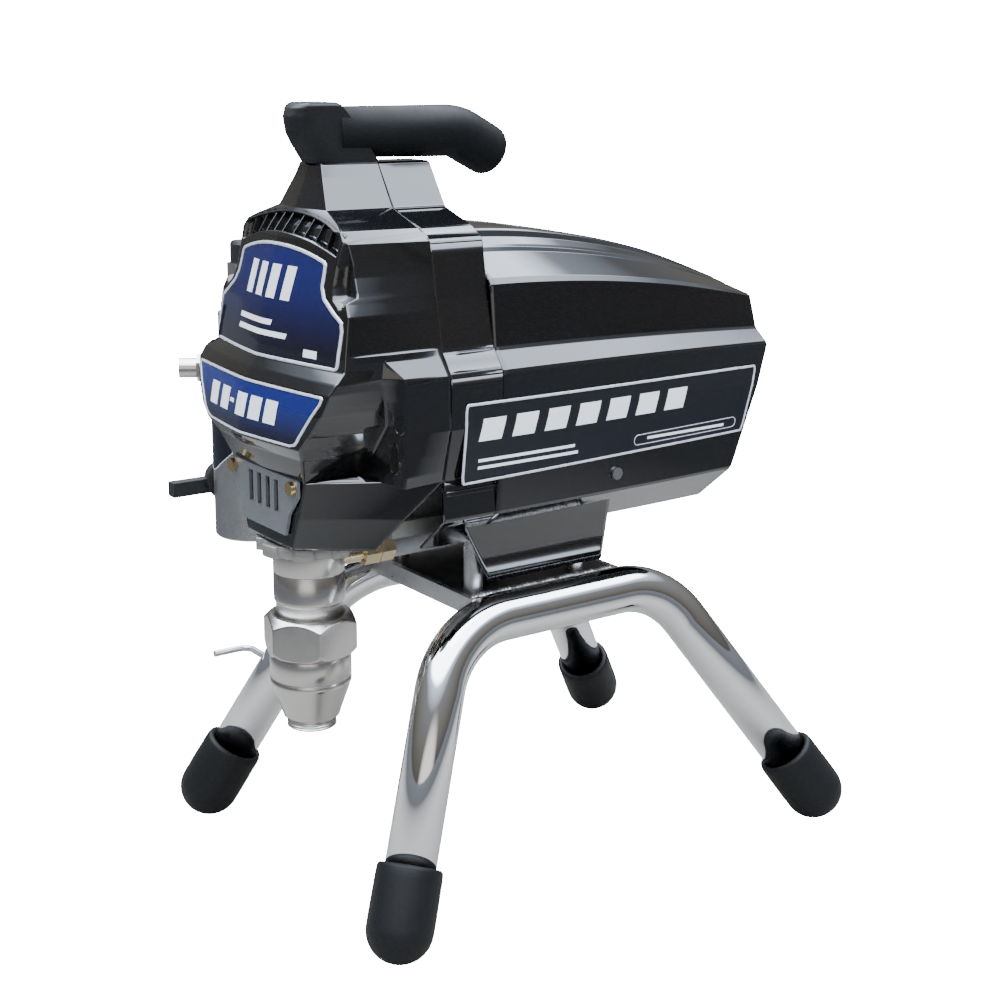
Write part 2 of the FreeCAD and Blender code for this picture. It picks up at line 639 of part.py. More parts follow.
def inset(points, gap, opening):
    """An outline moved inwards by one wall. Its first and last corners move past the open edge."""
    turn = sum(a.x * b.y - b.x * a.y for a, b in zip(points, points[1:] + points[:1]))
    gap = math.copysign(gap, turn)
    moved = []
    count = len(points)
    for i in range(count):
        before = points[i] - points[i - 1]
        after = points[(i + 1) % count] - points[i]
        a = Vector(-before.y, before.x, 0).normalize()
        b = Vector(-after.y, after.x, 0).normalize()
        middle = (a + b).normalize()
        moved.append(points[i] + middle * (gap / max(0.35, middle.dot(a))))
    for i in (0, count - 1):
        moved[i] = Vector(moved[i].x, points[i].y + opening, 0)
    return moved


def symmetric(half):
    """Both sides of an outline whose points run from x = 0 down the right side."""
    left = [Vector(-p.x, p.y, 0) for p in reversed(half) if p.x > 1e-6]
    return left + [Vector(p.x, p.y, 0) for p in half]


def loft_of(outlines, lifts):
    """A ruled solid through outlines; each lift maps a flat point into space."""
    wires = []
    for outline, lift in zip(outlines, lifts):
        corners = [lift(p) for p in outline]
        wires.append(Part.makePolygon(corners + corners[:1]))
    return Part.makeLoft(wires, True, True)


def seam_profile():
    """Half widths and heights of the joint between the two covers, from the top down."""
    wide = number("shroud_half_width")
    crown = number("crown_half_width")
    return [(number("handle_half_width"), 272), (29, 246), (crown, 236), (crown + 11, 229.5),
            (wide - 17, 195.5), (wide - 11, 167), (wide, 152), (wide, 120), (wide - 8, 87)]


def seam_width(height):
    """The seam's half width at a height above the deck."""
    profile = seam_profile()
    for (x0, z0), (x1, z1) in zip(profile, profile[1:]):
        if z0 >= height >= z1:
            return x0 + (x1 - x0) * (z0 - height) / (z0 - z1)
    return profile[-1][0]


grille_screw_x = ("-37.2", "37.2")


def front_sections():
    """Height, nose y, nose half width, step x and box x of the front cover."""
    box_x = number("shroud_half_width") - 2
    slim = number("crown_half_width")
    return [(272, -156, number("handle_half_width") - 0.4, None),
            (246, -160, 28.5, None), (236, -167, slim - 6, None),
            (229.5, -169.5, slim + 3, None), (195.5, -176.5, slim + 9, None),
            (167, -181.5, slim + 16, None), (158.5, -182.5, slim + 17, None),
            (147, -192, slim + 19, box_x), (120, -199.5, slim + 6, box_x),
            (113, -201, slim - 3, box_x), (100, -192.5, slim - 11, box_x),
            (87, -189.5, 43, box_x - 4), (43, -189.5, 27, 50)]


def front_outline(section):
    height, nose, nose_x, box_x = section
    seam = number("seam_y")
    rear_x = seam_width(height)
    if height < 80:
        rear_x = 46
    if box_x is None:
        share = (seam - 30 - nose) / (seam - nose)
        step_x = nose_x + (rear_x - nose_x) * share
        box_x = step_x + 0.02
    else:
        step_x = min(box_x - 1, nose_x + 6) if height > 80 else 48
        step_x = max(step_x, nose_x + 1)
    back = seam if height > 80 else seam - 32
    start = seam - 30 if height > 80 else seam - 44
    return [Vector(0, nose - 1.5, 0), Vector(nose_x, nose, 0), Vector(step_x, start - 1, 0),
            Vector(box_x, start, 0), Vector(rear_x, back, 0)]


def make_front_cover():
    wall = number("cover_wall")
    deck = number("deck_z")
    sections = front_sections()
    outlines = [symmetric(front_outline(s)) for s in sections]
    lifts = [lambda p, z=deck + s[0]: Vector(p.x, p.y, z) for s in sections]
    outer = loft_of(outlines, lifts)
    inner_outlines = [inset(outline, wall, 3) for outline in outlines]
    inner_lifts = [lambda p, z=deck + s[0] - (wall if i == 0 else 0): Vector(p.x, p.y, z)
                   for i, s in enumerate(sections)]
    last = sections[-1]
    inner_lifts[-1] = lambda p, z=deck + last[0] - 4: Vector(p.x, p.y, z)
    shell = cut("front_shell", feature("front_outer", outer),
                feature("front_inner", loft_of(inner_outlines, inner_lifts)))
    tools = [cylinder("manifold_clear", "manifold_radius + 3.5", "172",
                      ("manifold_x", "manifold_y", "deck_z + 10")),
             box("manifold_arm_clear", ("-case_half_width - 26", "-case_half_width + 4"),
                 ("manifold_y - 9", "front_wall_y + 9"), ("deck_z + 65", "deck_z + 93")),
             box("grille_window", ("-24", "24"), ("-230", "pump_y - 26.2"),
                 ("deck_z + 64", "deck_z + 86"))]
    tools += [cylinder(f"grille_screw_way_{i}", "2", "20", (x, "-205", "deck_z + 84"), along_y)
              for i, x in enumerate(grille_screw_x)]
    for i, (low, high) in enumerate((("deck_z + 96", "deck_z + 112"),
                                     ("deck_z + 120", "deck_z + 140"))):
        for side in (1, -1):
            tools.append(box(f"box_slot_{i}_{side + 1}",
                             (f"{side} * (shroud_half_width - 7.5) - 2",
                              f"{side} * (shroud_half_width - 7.5) + 2"),
                             ("seam_y - 40", "seam_y - 20"), (low, high)))
    for i in range(9):
        x = 12 * (i - 4)
        rise = 233 - 0.0045 * x * x
        tools.append(box(f"crown_slot_{i}", (f"{x} - 3.5", f"{x} + 3.5"),
                         ("seam_y - 70", "seam_y - 36"),
                         (f"deck_z + {rise - 14}", f"deck_z + {rise - 5}")))
    node(cut("front_cover_cut", shell, *tools), "front_cover")

    half = [("42", "79"), ("42", "89"), ("-42", "89"), ("-42", "79"), ("-31", "66"), ("-26", "52"),
            ("26", "52"), ("31", "66")]
    panel = plate("grille_blank", half, "2.2", ("0", "-191.1", "deck_z"),
                  Rotation(Vector(1, 0, 0), 90))
    slots = [box(f"grille_slot_{i}", (f"{x} - 2.6", f"{x} + 2.6"), ("-196", "-188"),
                 ("deck_z + 65", "deck_z + 85")) for i, x in enumerate((-16, -5.5, 5.5, 16))]
    holes = [cylinder(f"grille_screw_hole_{i}", "2", "6", (x, "-196", "deck_z + 84"), along_y)
             for i, x in enumerate(grille_screw_x)]
    node(cut("grille_cut", panel, *slots, *holes), "pump_grille")
    head = [("0", "0"), ("4.25", "0"), ("4.25", "3.4"), ("2", "3.4"), ("2", "10"), ("0", "10")]
    screws = [turned(f"grille_screw_{i}", head, (x, "-196.7", "deck_z + 84"), along_y)
              for i, x in enumerate(grille_screw_x)]
    node(group("grille_screw_pair", *screws), "grille_screws")


def roof_outline(y):
    """Half outline of the shroud behind its hump. The roof falls away towards the rear."""
    wide = number("shroud_half_width")
    back = max(0.0, y + 75) / 225
    fall = 43 * back ** 1.9
    taper = 7 * back ** 1.5
    rise = [(0, 232), (38, 231.5), (44, 228), (50, 218), (wide - 16, 205), (wide - 14.5, 198),
            (wide - 11, 165), (wide, 151.5), (wide, 120), (wide - 7, 63), (wide - 34, 38)]
    points = []
    for x, z in rise:
        share = max(0.0, (z - 120) / 110)
        points.append(Vector(x - taper * x / wide, z - fall * share * share, 0))
    return points


def hump_outline():
    profile = seam_profile()
    wide = number("shroud_half_width")
    points = [Vector(0, 272, 0)]
    points += [Vector(x, z, 0) for x, z in profile]
    return points + [Vector(wide - 7, 63, 0), Vector(wide - 34, 38, 0)]


def rear_blocks(y):
    """What is cut off behind the rear face: it leans back up to its edge and forwards above."""
    blocks = []
    for angle in (-lean, 9):
        block = Part.makeBox(400, 200, 800, Vector(-200, 0, -400))
        block.rotate(Vector(), Vector(1, 0, 0), angle)
        block.translate(Vector(0, y, number("deck_z") + rear_edge_rise))
        blocks.append(block)
    return blocks


def skirt_outlines(wall):
    """The skirt from its top edge down: half width, front y, rear y, height."""
    outlines = []
    for x, front, rear, z in ((85, -116, 16, 80), (73, -92, 24, 47), (57.5, -63, 30, 7.5)):
        x -= wall
        front -= 6 * (wall > 0)
        rear += 6 * (wall > 0) * (z < 60) - wall * (z > 60)
        z -= 4 * (wall > 0) * (z < 10)
        outlines.append([Vector(sx * x, y, number("deck_z") + z)
                         for sx, y in ((-1, front), (1, front), (1, rear), (-1, rear))])
    return outlines


def make_rear_shroud():
    wall = number("cover_wall")
    deck = number("deck_z")
    seam = number("seam_y")

    def standing(y):
        return lambda p: Vector(p.x, y, deck + p.y)

    hump = symmetric(hump_outline())
    stations = (-78, -30, 20, 70, 110, 175)
    roof = [symmetric(roof_outline(y)) for y in stations]
    keep = [lambda p: p] * 3
    outer = loft_of([hump, hump], [standing(seam), standing(-75)]).fuse(
        [loft_of(roof, [standing(y) for y in stations]).cut(rear_blocks(rear_edge_y)),
         loft_of(skirt_outlines(0), keep)])
    inner_hump = inset(hump, wall, -4)
    inner_roof = [inset(outline, wall, -4) for outline in roof]
    inner_stations = (stations[0] + wall,) + stations[1:]
    way = [standing(-90), standing(-60)]
    neck = loft_of([inner_hump] * 2, way).common(loft_of([inner_roof[0]] * 2, way))
    core = loft_of([inner_hump] * 2, [standing(seam - 1), standing(-75 - wall)]).fuse(
        [loft_of(inner_roof, [standing(y) for y in inner_stations])
         .cut(rear_blocks(rear_edge_y - wall)), neck.cut(rear_blocks(-62)),
         loft_of(skirt_outlines(wall), keep)])
    cutaway = plate("shroud_cutaway", [("0", "0"), ("-60", "0"), ("-60", "-90"),
                                       ("56", "-90"), ("30", "-45")],
                    "400", ("-200", "seam_y", "deck_z + 87"),
                    Rotation(Vector(0, 1, 0), 90).multiply(Rotation(Vector(0, 0, 1), 90)))
    screw_ways = [cylinder(f"side_screw_way_{i}", "3", "30",
                           (f"{x} - 15", "rear_post_y", side_screw_rise), along_x)
                  for i, x in enumerate((f"-({side_screw_x})", side_screw_x))]
    node(cut("shroud_cut", feature("shroud_outer", outer), feature("shroud_inner", core), cutaway,
             *screw_ways, *panel_cutters()), "rear_shroud")
    head = [("0", "-12"), ("3", "-12"), ("3", "-0.4"), ("4", "-0.4"), ("4", "1.2"), ("0", "1.2")]
    screws = [turned(f"side_screw_{i}", head, (x, "rear_post_y", side_screw_rise),
                     Rotation(Vector(0, 1, 0), turn))
              for i, (x, turn) in enumerate(((f"-({side_screw_x})", -90), (side_screw_x, 90)))]
    node(group("side_screw_pair", *screws), "cover_screws")


# ---- control panel on the leaning rear face of the shroud ----

lean = math.degrees(math.atan(0.265))
rear_edge_y = 149
rear_edge_rise = 146
panel_turn = Rotation(Vector(1, 0, 0), -90 - lean)


def panel_point(x, rise):
    """A point on the outside of the rear face, at a height above the deck."""
    return Vector(x, rear_edge_y + (rise - rear_edge_rise) * 0.265, number("deck_z") + rise)


def panel_cylinder(name, radius, start, end, x, rise):
    """A round bar square to the rear face, from start to end along its outward normal."""
    normal = panel_turn.multVec(Vector(0, 0, 1))
    obj = cylinder(name, radius, f"({end}) - ({start})", None)
    obj.Placement = Placement(panel_point(x, rise) + normal * number(start), panel_turn)
    return obj


knob_place = (-34, 112)
switch_place = (34, 112)
gland_place = (0, 72)


def panel_cutters():
    return [panel_cylinder("panel_knob_hole", "5", "-8", "8", *knob_place),
            panel_cylinder("panel_switch_hole", "11", "-8", "8", *switch_place),
            panel_cylinder("panel_gland_hole", "8", "-8", "8", *gland_place)]


def make_controls():
    pot = [panel_cylinder("pot_body", "11", "-20", "-3", *knob_place),
           panel_cylinder("pot_neck", "5", "-3", "1", *knob_place)]
    pot_bore = panel_cylinder("pot_bore", "knob_shaft_radius + running_gap", "-12", "4", *knob_place)
    node(cut("pot", fuse("pot_blank", *pot), pot_bore), "pressure_control_unit")
    shaft = panel_cylinder("knob_shaft", "knob_shaft_radius", "-11.5", "3", *knob_place)
    head = panel_cylinder("knob_head", "knob_radius", "1.6", "16", *knob_place)
    grips = []
    for i in range(12):
        angle = 2 * math.pi * i / 12
        reach = number("knob_radius") + 0.6
        grips.append(panel_cylinder(f"knob_flute_{i}", "1.8", "4", "18",
                                    knob_place[0] + reach * math.cos(angle),
                                    knob_place[1]))
        offset = panel_turn.multVec(Vector(0, reach * math.sin(angle), 0))
        grips[-1].Placement = Placement(grips[-1].Placement.Base + offset, panel_turn)
    pointer = panel_cylinder("knob_pointer", "1.5", "15", "18", knob_place[0], knob_place[1] + 9)
    node(fuse("knob", cut("knob_fluted", head, pointer, *grips), shaft), "pressure_knob")

    frame = panel_cylinder("switch_frame_outer", "11", "-18", "1", *switch_place)
    bezel = panel_cylinder("switch_bezel", "13.5", "0", "2", *switch_place)
    well = panel_cylinder("switch_well", "9", "-9", "3", *switch_place)
    rocker = panel_cylinder("rocker", "8.3", "-3", "3", *switch_place)
    pivot = panel_point(*switch_place)
    socket = Part.makeCylinder(1.55, 20.8, pivot - Vector(10.4, 0, 0), Vector(1, 0, 0))
    node(cut("switch_frame", fuse("switch_blank", frame, bezel), well,
             feature("rocker_socket", socket)), "switch_housing")
    rocker.Placement = Placement(Vector(), Rotation(Vector(1, 0, 0), 6), pivot) * rocker.Placement
    pin = Part.makeCylinder(1.5, 20.4, pivot - Vector(10.2, 0, 0), Vector(1, 0, 0))
    node(fuse("rocker_on_pin", rocker, feature("rocker_pin", pin)), "power_switch")

    gland = panel_cylinder("gland_neck", "8", "-6", "0", *gland_place)
    gland_nut = panel_cylinder("gland_nut", "11", "0", "8", *gland_place)
    gland_way = panel_cylinder("gland_way", "4.5", "-8", "12", *gland_place)
    node(cut("cord_gland_cut", fuse("gland_blank", gland, gland_nut), gland_way), "cord_gland")
    board = box("board_blank", ("-36", "36"), ("100", "102"), ("deck_z + 92", "deck_z + 168"))
    parts = [box("board_choke", ("-30", "-10"), ("102", "118"), ("deck_z + 100", "deck_z + 122")),
             box("board_driver", ("2", "30"), ("102", "112"), ("deck_z + 98", "deck_z + 116")),
             box("board_relay", ("-8", "12"), ("102", "116"), ("deck_z + 130", "deck_z + 152"))]
    node(fuse("board", board, *parts), "control_board")


# ---- handle ----

def make_handle():
    deck = number("deck_z")
    half = number("handle_half_width")
    side = [Vector(0, -115, 272), Vector(0, -160, 272), Vector(0, -168.5, 290),
            Vector(0, -171, 299), Vector(0, -164, 307.5), Vector(0, -140, 307.5),
            Vector(0, -133, 298)]
    side = [Vector(-half, p.y, deck + p.z) for p in side]
    face = Part.Face(Part.makePolygon(side + side[:1]))
    arm = face.extrude(Vector(2 * half, 0, 0))
    front = [e for e in arm.Edges if abs(e.Vertexes[0].X) > half - 0.1
             and abs(e.Vertexes[0].X - e.Vertexes[-1].X) < 0.1
             and max(v.Y for v in e.Vertexes) < -157]
    arm = arm.makeFillet(min(8.0, half - 2), front)
    bar_path = [Vector(0, -150, deck + number("grip_z")), Vector(0, -50, deck + number("grip_z")),
                Vector(0, -27, deck + number("grip_z") - 12)]
    bar = piped(bar_path, number("grip_bar_radius"), 22)
    node(fuse("arm", cut("arm_cut", feature("arm_blank", arm), feature("arm_bar_way", bar)),
              feature("handle_tube", bar)), "handle_arm")
    grip_path = [Vector(0, -138, deck + number("grip_z"))] + bar_path[1:]
    sleeve = piped(grip_path, number("grip_radius"), 22)
    end = Part.makeSphere(number("grip_radius"), bar_path[-1])
    blank = feature("grip_blank", sleeve.fuse(end))
    way = feature("grip_way", bar)
    node(cut("grip", blank, way, feature("grip_arm_way", arm)), "handle_grip")


# ---- manifold ----

def make_manifold():
    at = ("manifold_x", "manifold_y", "deck_z")
    body = turned("manifold_blank", [
        ("0", "22"), ("manifold_radius - 1.5", "22"), ("manifold_radius", "23.5"),
        ("manifold_radius", "104"), ("manifold_upper_radius", "108"),
        ("manifold_upper_radius", "172"), ("filter_bore", "172"), ("filter_bore", "28"),
        ("0", "28")], at)
    outlet_turn = Rotation(Vector(0, 0, 1), 30).multiply(Rotation(Vector(1, 0, 0), 90))
    centre = ("manifold_x", "manifold_y", "deck_z + 135")
    outlet_bore = cylinder("outlet_bore", "4", "40", centre, outlet_turn)
    outlet_bore.Placement.Rotation = left_of_nose
    valve_bore = cylinder("valve_bore", "6", "manifold_radius + 5",
                          ("manifold_x - manifold_radius - 5", "manifold_y", "deck_z + 51"), along_x)
    node(cut("manifold_cut", body, outlet_bore, valve_bore), "manifold_body")
    node(turned("strainer", [("8", "36"), ("11", "36"), ("11", "150"), ("8", "150")], at),
         "filter_element")
    cap_hex = doc.addObject("Part::Prism", "cap_prism")
    cap_hex.Polygon = 6
    cap_hex.Circumradius = 12
    cap_hex.Height = 26
    place(cap_hex, ("manifold_x", "manifold_y", "deck_z + 178"))
    flange = turned("cap_flange", [
        ("0", "158"), ("filter_bore", "158"), ("filter_bore", "172"), ("manifold_upper_radius - 2", "172"),
        ("manifold_upper_radius - 2", "178"), ("0", "178")], at)
    node(fuse("cap", flange, cap_hex), "manifold_cap")
    node(turned("sensor", [("0", "204"), ("9.7", "204"), ("9.7", "216"), ("8.7", "218"),
                           ("0", "218")], at), "pressure_sensor")

    nipple = cylinder("nipple", "outlet_radius", "45", centre)
    nipple.Placement.Rotation = left_of_nose
    collar = doc.addObject("Part::Prism", "outlet_collar")
    collar.Polygon = 6
    collar.Circumradius = 9.2
    collar.Height = 33.5
    place(collar, centre, left_of_nose)
    barrel = cylinder("outlet_barrel", "manifold_upper_radius", "60",
                      ("manifold_x", "manifold_y", "deck_z + 108"))
    way = cylinder("outlet_way", "3.5", "60", centre)
    way.Placement.Rotation = left_of_nose
    node(cut("outlet", fuse("outlet_blank", nipple, collar), barrel, way), "fluid_outlet")

    stem_z = "deck_z + 51"
    body_ring = cylinder("valve_barrel", "valve_radius", "12",
                         ("manifold_x - manifold_radius - 12", "manifold_y", stem_z), along_x)
    spigot = cylinder("valve_spigot", "6", "22",
                      ("manifold_x - manifold_radius - 12", "manifold_y", stem_z), along_x)
    round_space = cylinder("valve_round", "manifold_radius", "60",
                           ("manifold_x", "manifold_y", "deck_z + 22"))
    stem_bore = cylinder("valve_stem_bore", "3 + running_gap", "20",
                         ("manifold_x - manifold_radius - 14", "manifold_y", stem_z), along_x)
    node(cut("valve", fuse("valve_blank", cut("valve_barrel_cut", body_ring, round_space), spigot),
             stem_bore), "prime_valve_body")
    hub_x = "manifold_x - manifold_radius - 12.3"
    hub = turned("lever_hub", [("0", "0"), ("lever_hub_radius - 3.5", "0"), ("lever_hub_radius", "11"),
                               ("lever_hub_radius", "13"), ("0", "13")],
                 (f"{hub_x} - 13", "manifold_y", stem_z), along_x)
    stem = cylinder("lever_stem", "3", "17", (f"{hub_x} - 1", "manifold_y", stem_z), along_x)
    arm = box("lever_arm", (f"{hub_x} - 12", f"{hub_x} - 3"),
              ("manifold_y - 38", "manifold_y"), ("deck_z + 42.5", "deck_z + 52.5"))
    node(fuse("lever", hub, stem, arm), "prime_valve_lever")

    drain_turn = Rotation(Vector(0, 0, 1), Vector(-0.5, 0.866, 0))
    drain_at = ("manifold_x", "manifold_y", "deck_z + 34")
    neck = cylinder("drain_neck", "6", "manifold_radius + 8", drain_at)
    neck.Placement.Rotation = drain_turn
    barb = cylinder("drain_barb", "4", "manifold_radius + 22", drain_at)
    barb.Placement.Rotation = drain_turn
    drain_way = cylinder("drain_way", "2.5", "80", drain_at)
    drain_way.Placement.Rotation = drain_turn
    round_drain = cylinder("drain_round", "manifold_radius", "60",
                           ("manifold_x", "manifold_y", "deck_z + 22"))
    node(cut("drain", fuse("drain_blank", neck, barb), round_drain, drain_way), "drain_fitting")


left_of_nose = Rotation(Vector(0, 0, 1), Vector(-0.5, -0.866, 0))


def make_hose():
    """Fittings behind the pump, and the hose that runs round under the drive to the manifold."""
    deck = number("deck_z")
    start = Vector(4, number("pump_y") + 12, number("pump_z") + 111)
    path = [start, start + Vector(0, 45, 0), Vector(16, -62, deck + 29),
            Vector(20, 2, deck + 30), Vector(-32, 2, deck + 30), Vector(-29, -64, deck + 31),
            Vector(-52, -122, deck + 36),
            Vector(number("manifold_x"), number("manifold_y"), deck + 40)]
    direction = (path[1] - path[0]).normalize()
    turn = Rotation(Vector(0, 0, 1), direction)
    radius = number("hose_radius")
    spigot = feature("pump_spigot", Part.makeCylinder(5, 20, start, direction))
    barrel = Part.makeCylinder(6, 26, start, direction)
    nuts = []
    for reach, length, size in ((24, 11, 9), (36, 10, 8.6)):
        nut = doc.addObject("Part::Prism", f"hose_nut_{reach}")
        nut.Polygon = 6
        nut.Circumradius = size
        nut.Height = length
        nut.Placement = Placement(start + direction * reach, turn)
        nuts.append(nut)
    sleeve = feature("hose_sleeve", Part.makeCylinder(radius, 14, start + direction * 23, direction))
    bore = feature("hose_nut_bore", Part.makeCylinder(3.5, 80, start - direction * 10, direction))
    clear = cylinder("hose_cylinder_clear", "cylinder_radius", "60", ("0", "pump_y", "deck_z"))
    chamber = cylinder("hose_chamber_clear", "piston_bore", "60", ("0", "pump_y", "deck_z"))
    outside = cut("hose_barrel", feature("hose_barrel_blank", barrel), clear)
    inside = cut("hose_spigot", spigot, chamber)
    run = piped([start + direction * 46, start + direction * 53] + path[2:], radius, 24)
    far = (path[-1] - path[-2]).normalize()
    body = Part.makeCylinder(number("manifold_radius"), 80, Vector(path[-1].x, path[-1].y, deck + 20))
    end_at = path[-1] - far * (number("manifold_radius") + 16)
    crimp = Part.makeCylinder(9, 40, end_at, far).cut(body)
    crimp = max(crimp.Solids, key=lambda s: -s.CenterOfMass.distanceToPoint(end_at))
    pump_end = cut("hose_end", fuse("hose_end_blank", outside, inside, sleeve, *nuts), bore)
    node(group("hose_ends", pump_end, feature("hose_crimp", crimp)), "hose_fittings")
    beyond = Part.makeCylinder(60, 200, end_at, far)
    node(feature("hose_run", run.cut(beyond)), "outlet_hose")


make_stand()
make_feet()
make_hook()
make_posts()
make_pump()
make_pump_rod()
make_crank()
make_connecting_rod()
make_lay_gear()
make_drive_housing()
make_motor()
make_front_cover()
make_rear_shroud()
make_controls()
make_handle()
make_manifold()
make_hose()
doc.recompute()

for obj in doc.Objects:
    if "Invalid" in obj.State or "Error" in obj.State:
        raise RuntimeError(f"{obj.Label} failed: {obj.State}")
for obj in nodes:
    if obj.Shape.isNull() or not obj.Shape.isValid():
        raise RuntimeError(f"{obj.Label} has no valid shape")
for obj in nodes:
    obj.Shape.exportStep(f"parts/{obj.Label}.step")
print(len(nodes), "nodes")
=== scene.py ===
import json
import math
import bpy
import numpy as np
from mathutils import Matrix, Vector


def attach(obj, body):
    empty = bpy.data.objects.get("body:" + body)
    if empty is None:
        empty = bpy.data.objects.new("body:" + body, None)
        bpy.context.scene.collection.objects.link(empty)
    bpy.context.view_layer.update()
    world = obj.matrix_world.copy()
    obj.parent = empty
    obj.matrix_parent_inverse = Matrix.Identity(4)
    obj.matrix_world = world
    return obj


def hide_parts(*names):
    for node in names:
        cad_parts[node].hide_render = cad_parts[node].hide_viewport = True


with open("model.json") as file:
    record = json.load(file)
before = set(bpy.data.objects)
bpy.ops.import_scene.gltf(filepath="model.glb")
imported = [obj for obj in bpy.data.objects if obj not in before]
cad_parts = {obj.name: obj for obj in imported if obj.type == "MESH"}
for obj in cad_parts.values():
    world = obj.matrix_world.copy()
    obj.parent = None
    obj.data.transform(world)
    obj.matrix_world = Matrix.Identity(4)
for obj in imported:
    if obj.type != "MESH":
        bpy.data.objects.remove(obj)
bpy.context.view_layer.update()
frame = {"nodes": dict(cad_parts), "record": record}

mm = 0.001
floorDeck = 194.0

# ---------- camera ----------

view = {"azimuth": 53.878, "elevation": 14.864, "roll": 0.567, "lens": 60.52,
        "place": (0.89493, -0.66611, 0.52999)}


def makeCamera(settings):
    az, el, roll = (math.radians(settings[k]) for k in ("azimuth", "elevation", "roll"))
    forward = Vector((-math.sin(az) * math.cos(el), math.cos(az) * math.cos(el), -math.sin(el)))
    right = Vector((math.cos(az), math.sin(az), 0))
    up = right.cross(forward)
    side = math.cos(roll) * right + math.sin(roll) * up
    top = -math.sin(roll) * right + math.cos(roll) * up
    data = bpy.data.cameras.new("camera")
    data.sensor_width = 36
    data.lens = settings["lens"]
    data.clip_start = 0.02
    camera = bpy.data.objects.new("camera", data)
    turn = Matrix((side, top, -forward)).transposed().to_4x4()
    camera.matrix_world = Matrix.Translation(settings["place"]) @ turn
    bpy.context.scene.collection.objects.link(camera)
    bpy.context.scene.camera = camera


makeCamera(view)
print("camera placed")

# ---------- shared shader effects ----------


def newGroup(name, inputs, outputs):
    group = bpy.data.node_groups.new(name, "ShaderNodeTree")
    for label, kind, value in inputs:
        socket = group.interface.new_socket(name=label, in_out="INPUT", socket_type=kind)
        if value is not None:
            socket.default_value = value
    for label, kind in outputs:
        group.interface.new_socket(name=label, in_out="OUTPUT", socket_type=kind)
    start = group.nodes.new("NodeGroupInput")
    end = group.nodes.new("NodeGroupOutput")
    return group, start, end


def link(tree, a, b):
    tree.links.new(a, b)


def node(tree, kind, **settings):
    made = tree.nodes.new(kind)
    for key, value in settings.items():
        if key.startswith("in_"):
            made.inputs[int(key[3:])].default_value = value
        else:
            setattr(made, key, value)
    return made


def makeMottleGroup():
    """Soft cloudy variation around one, from a single noise."""
    group, start, end = newGroup(
        "mottle", [("Scale", "NodeSocketFloat", 30.0), ("Amount", "NodeSocketFloat", 0.2)],
        [("Value", "NodeSocketFloat")])
    coords = node(group, "ShaderNodeTexCoord")
    broad = node(group, "ShaderNodeTexNoise")
    broad.inputs["Detail"].default_value = 5
    broad.inputs["Roughness"].default_value = 0.6
    link(group, coords.outputs["Object"], broad.inputs["Vector"])
    link(group, start.outputs["Scale"], broad.inputs["Scale"])
    centred = node(group, "ShaderNodeMath", operation="SUBTRACT", in_1=0.5)
    link(group, broad.outputs["Fac"], centred.inputs[0])
    scaled = node(group, "ShaderNodeMath", operation="MULTIPLY")
    link(group, centred.outputs[0], scaled.inputs[0])
    link(group, start.outputs["Amount"], scaled.inputs[1])
    result = node(group, "ShaderNodeMath", operation="MULTIPLY_ADD", in_1=2.0, in_2=1.0)
    link(group, scaled.outputs[0], result.inputs[0])
    link(group, result.outputs[0], end.inputs[0])
    return group


def makeGrainGroup():
    """A fine bump, stretched along one axis when Stretch isn't one in all three."""
    group, start, end = newGroup(
        "grain", [("Scale", "NodeSocketFloat", 900.0), ("Strength", "NodeSocketFloat", 0.1),
                  ("Depth", "NodeSocketFloat", 0.0002), ("Stretch", "NodeSocketVector", (1, 1, 1))],
        [("Normal", "NodeSocketVector"), ("Value", "NodeSocketFloat")])
    coords = node(group, "ShaderNodeTexCoord")
    stretch = node(group, "ShaderNodeVectorMath", operation="MULTIPLY")
    link(group, coords.outputs["Object"], stretch.inputs[0])
    link(group, start.outputs["Stretch"], stretch.inputs[1])
    noise = node(group, "ShaderNodeTexNoise")
    noise.inputs["Detail"].default_value = 4
    link(group, stretch.outputs[0], noise.inputs["Vector"])
    link(group, start.outputs["Scale"], noise.inputs["Scale"])
    bump = node(group, "ShaderNodeBump")
    link(group, noise.outputs["Fac"], bump.inputs["Height"])
    link(group, start.outputs["Strength"], bump.inputs["Strength"])
    link(group, start.outputs["Depth"], bump.inputs["Distance"])
    link(group, bump.outputs[0], end.inputs[0])
    link(group, noise.outputs["Fac"], end.inputs[1])
    return group


def makeSpeckGroup():
    """A mask of sparse small marks: dust, nicks and dried drops."""
    group, start, end = newGroup(
        "specks", [("Scale", "NodeSocketFloat", 260.0), ("Rarity", "NodeSocketFloat", 0.72)],
        [("Mask", "NodeSocketFloat")])
    coords = node(group, "ShaderNodeTexCoord")
    cells = node(group, "ShaderNodeTexVoronoi")
    link(group, coords.outputs["Object"], cells.inputs["Vector"])
    link(group, start.outputs["Scale"], cells.inputs["Scale"])
    near = node(group, "ShaderNodeMapRange", in_1=0.05, in_2=0.16, in_3=1.0, in_4=0.0)
    link(group, cells.outputs["Distance"], near.inputs[0])
    patches = node(group, "ShaderNodeTexNoise")
    patches.inputs["Scale"].default_value = 45
    link(group, coords.outputs["Object"], patches.inputs["Vector"])
    rare = node(group, "ShaderNodeMath", operation="GREATER_THAN")
    link(group, patches.outputs["Fac"], rare.inputs[0])
    link(group, start.outputs["Rarity"], rare.inputs[1])
    both = node(group, "ShaderNodeMath", operation="MULTIPLY")
    link(group, near.outputs[0], both.inputs[0])
    link(group, rare.outputs[0], both.inputs[1])
    link(group, both.outputs[0], end.inputs[0])
    return group


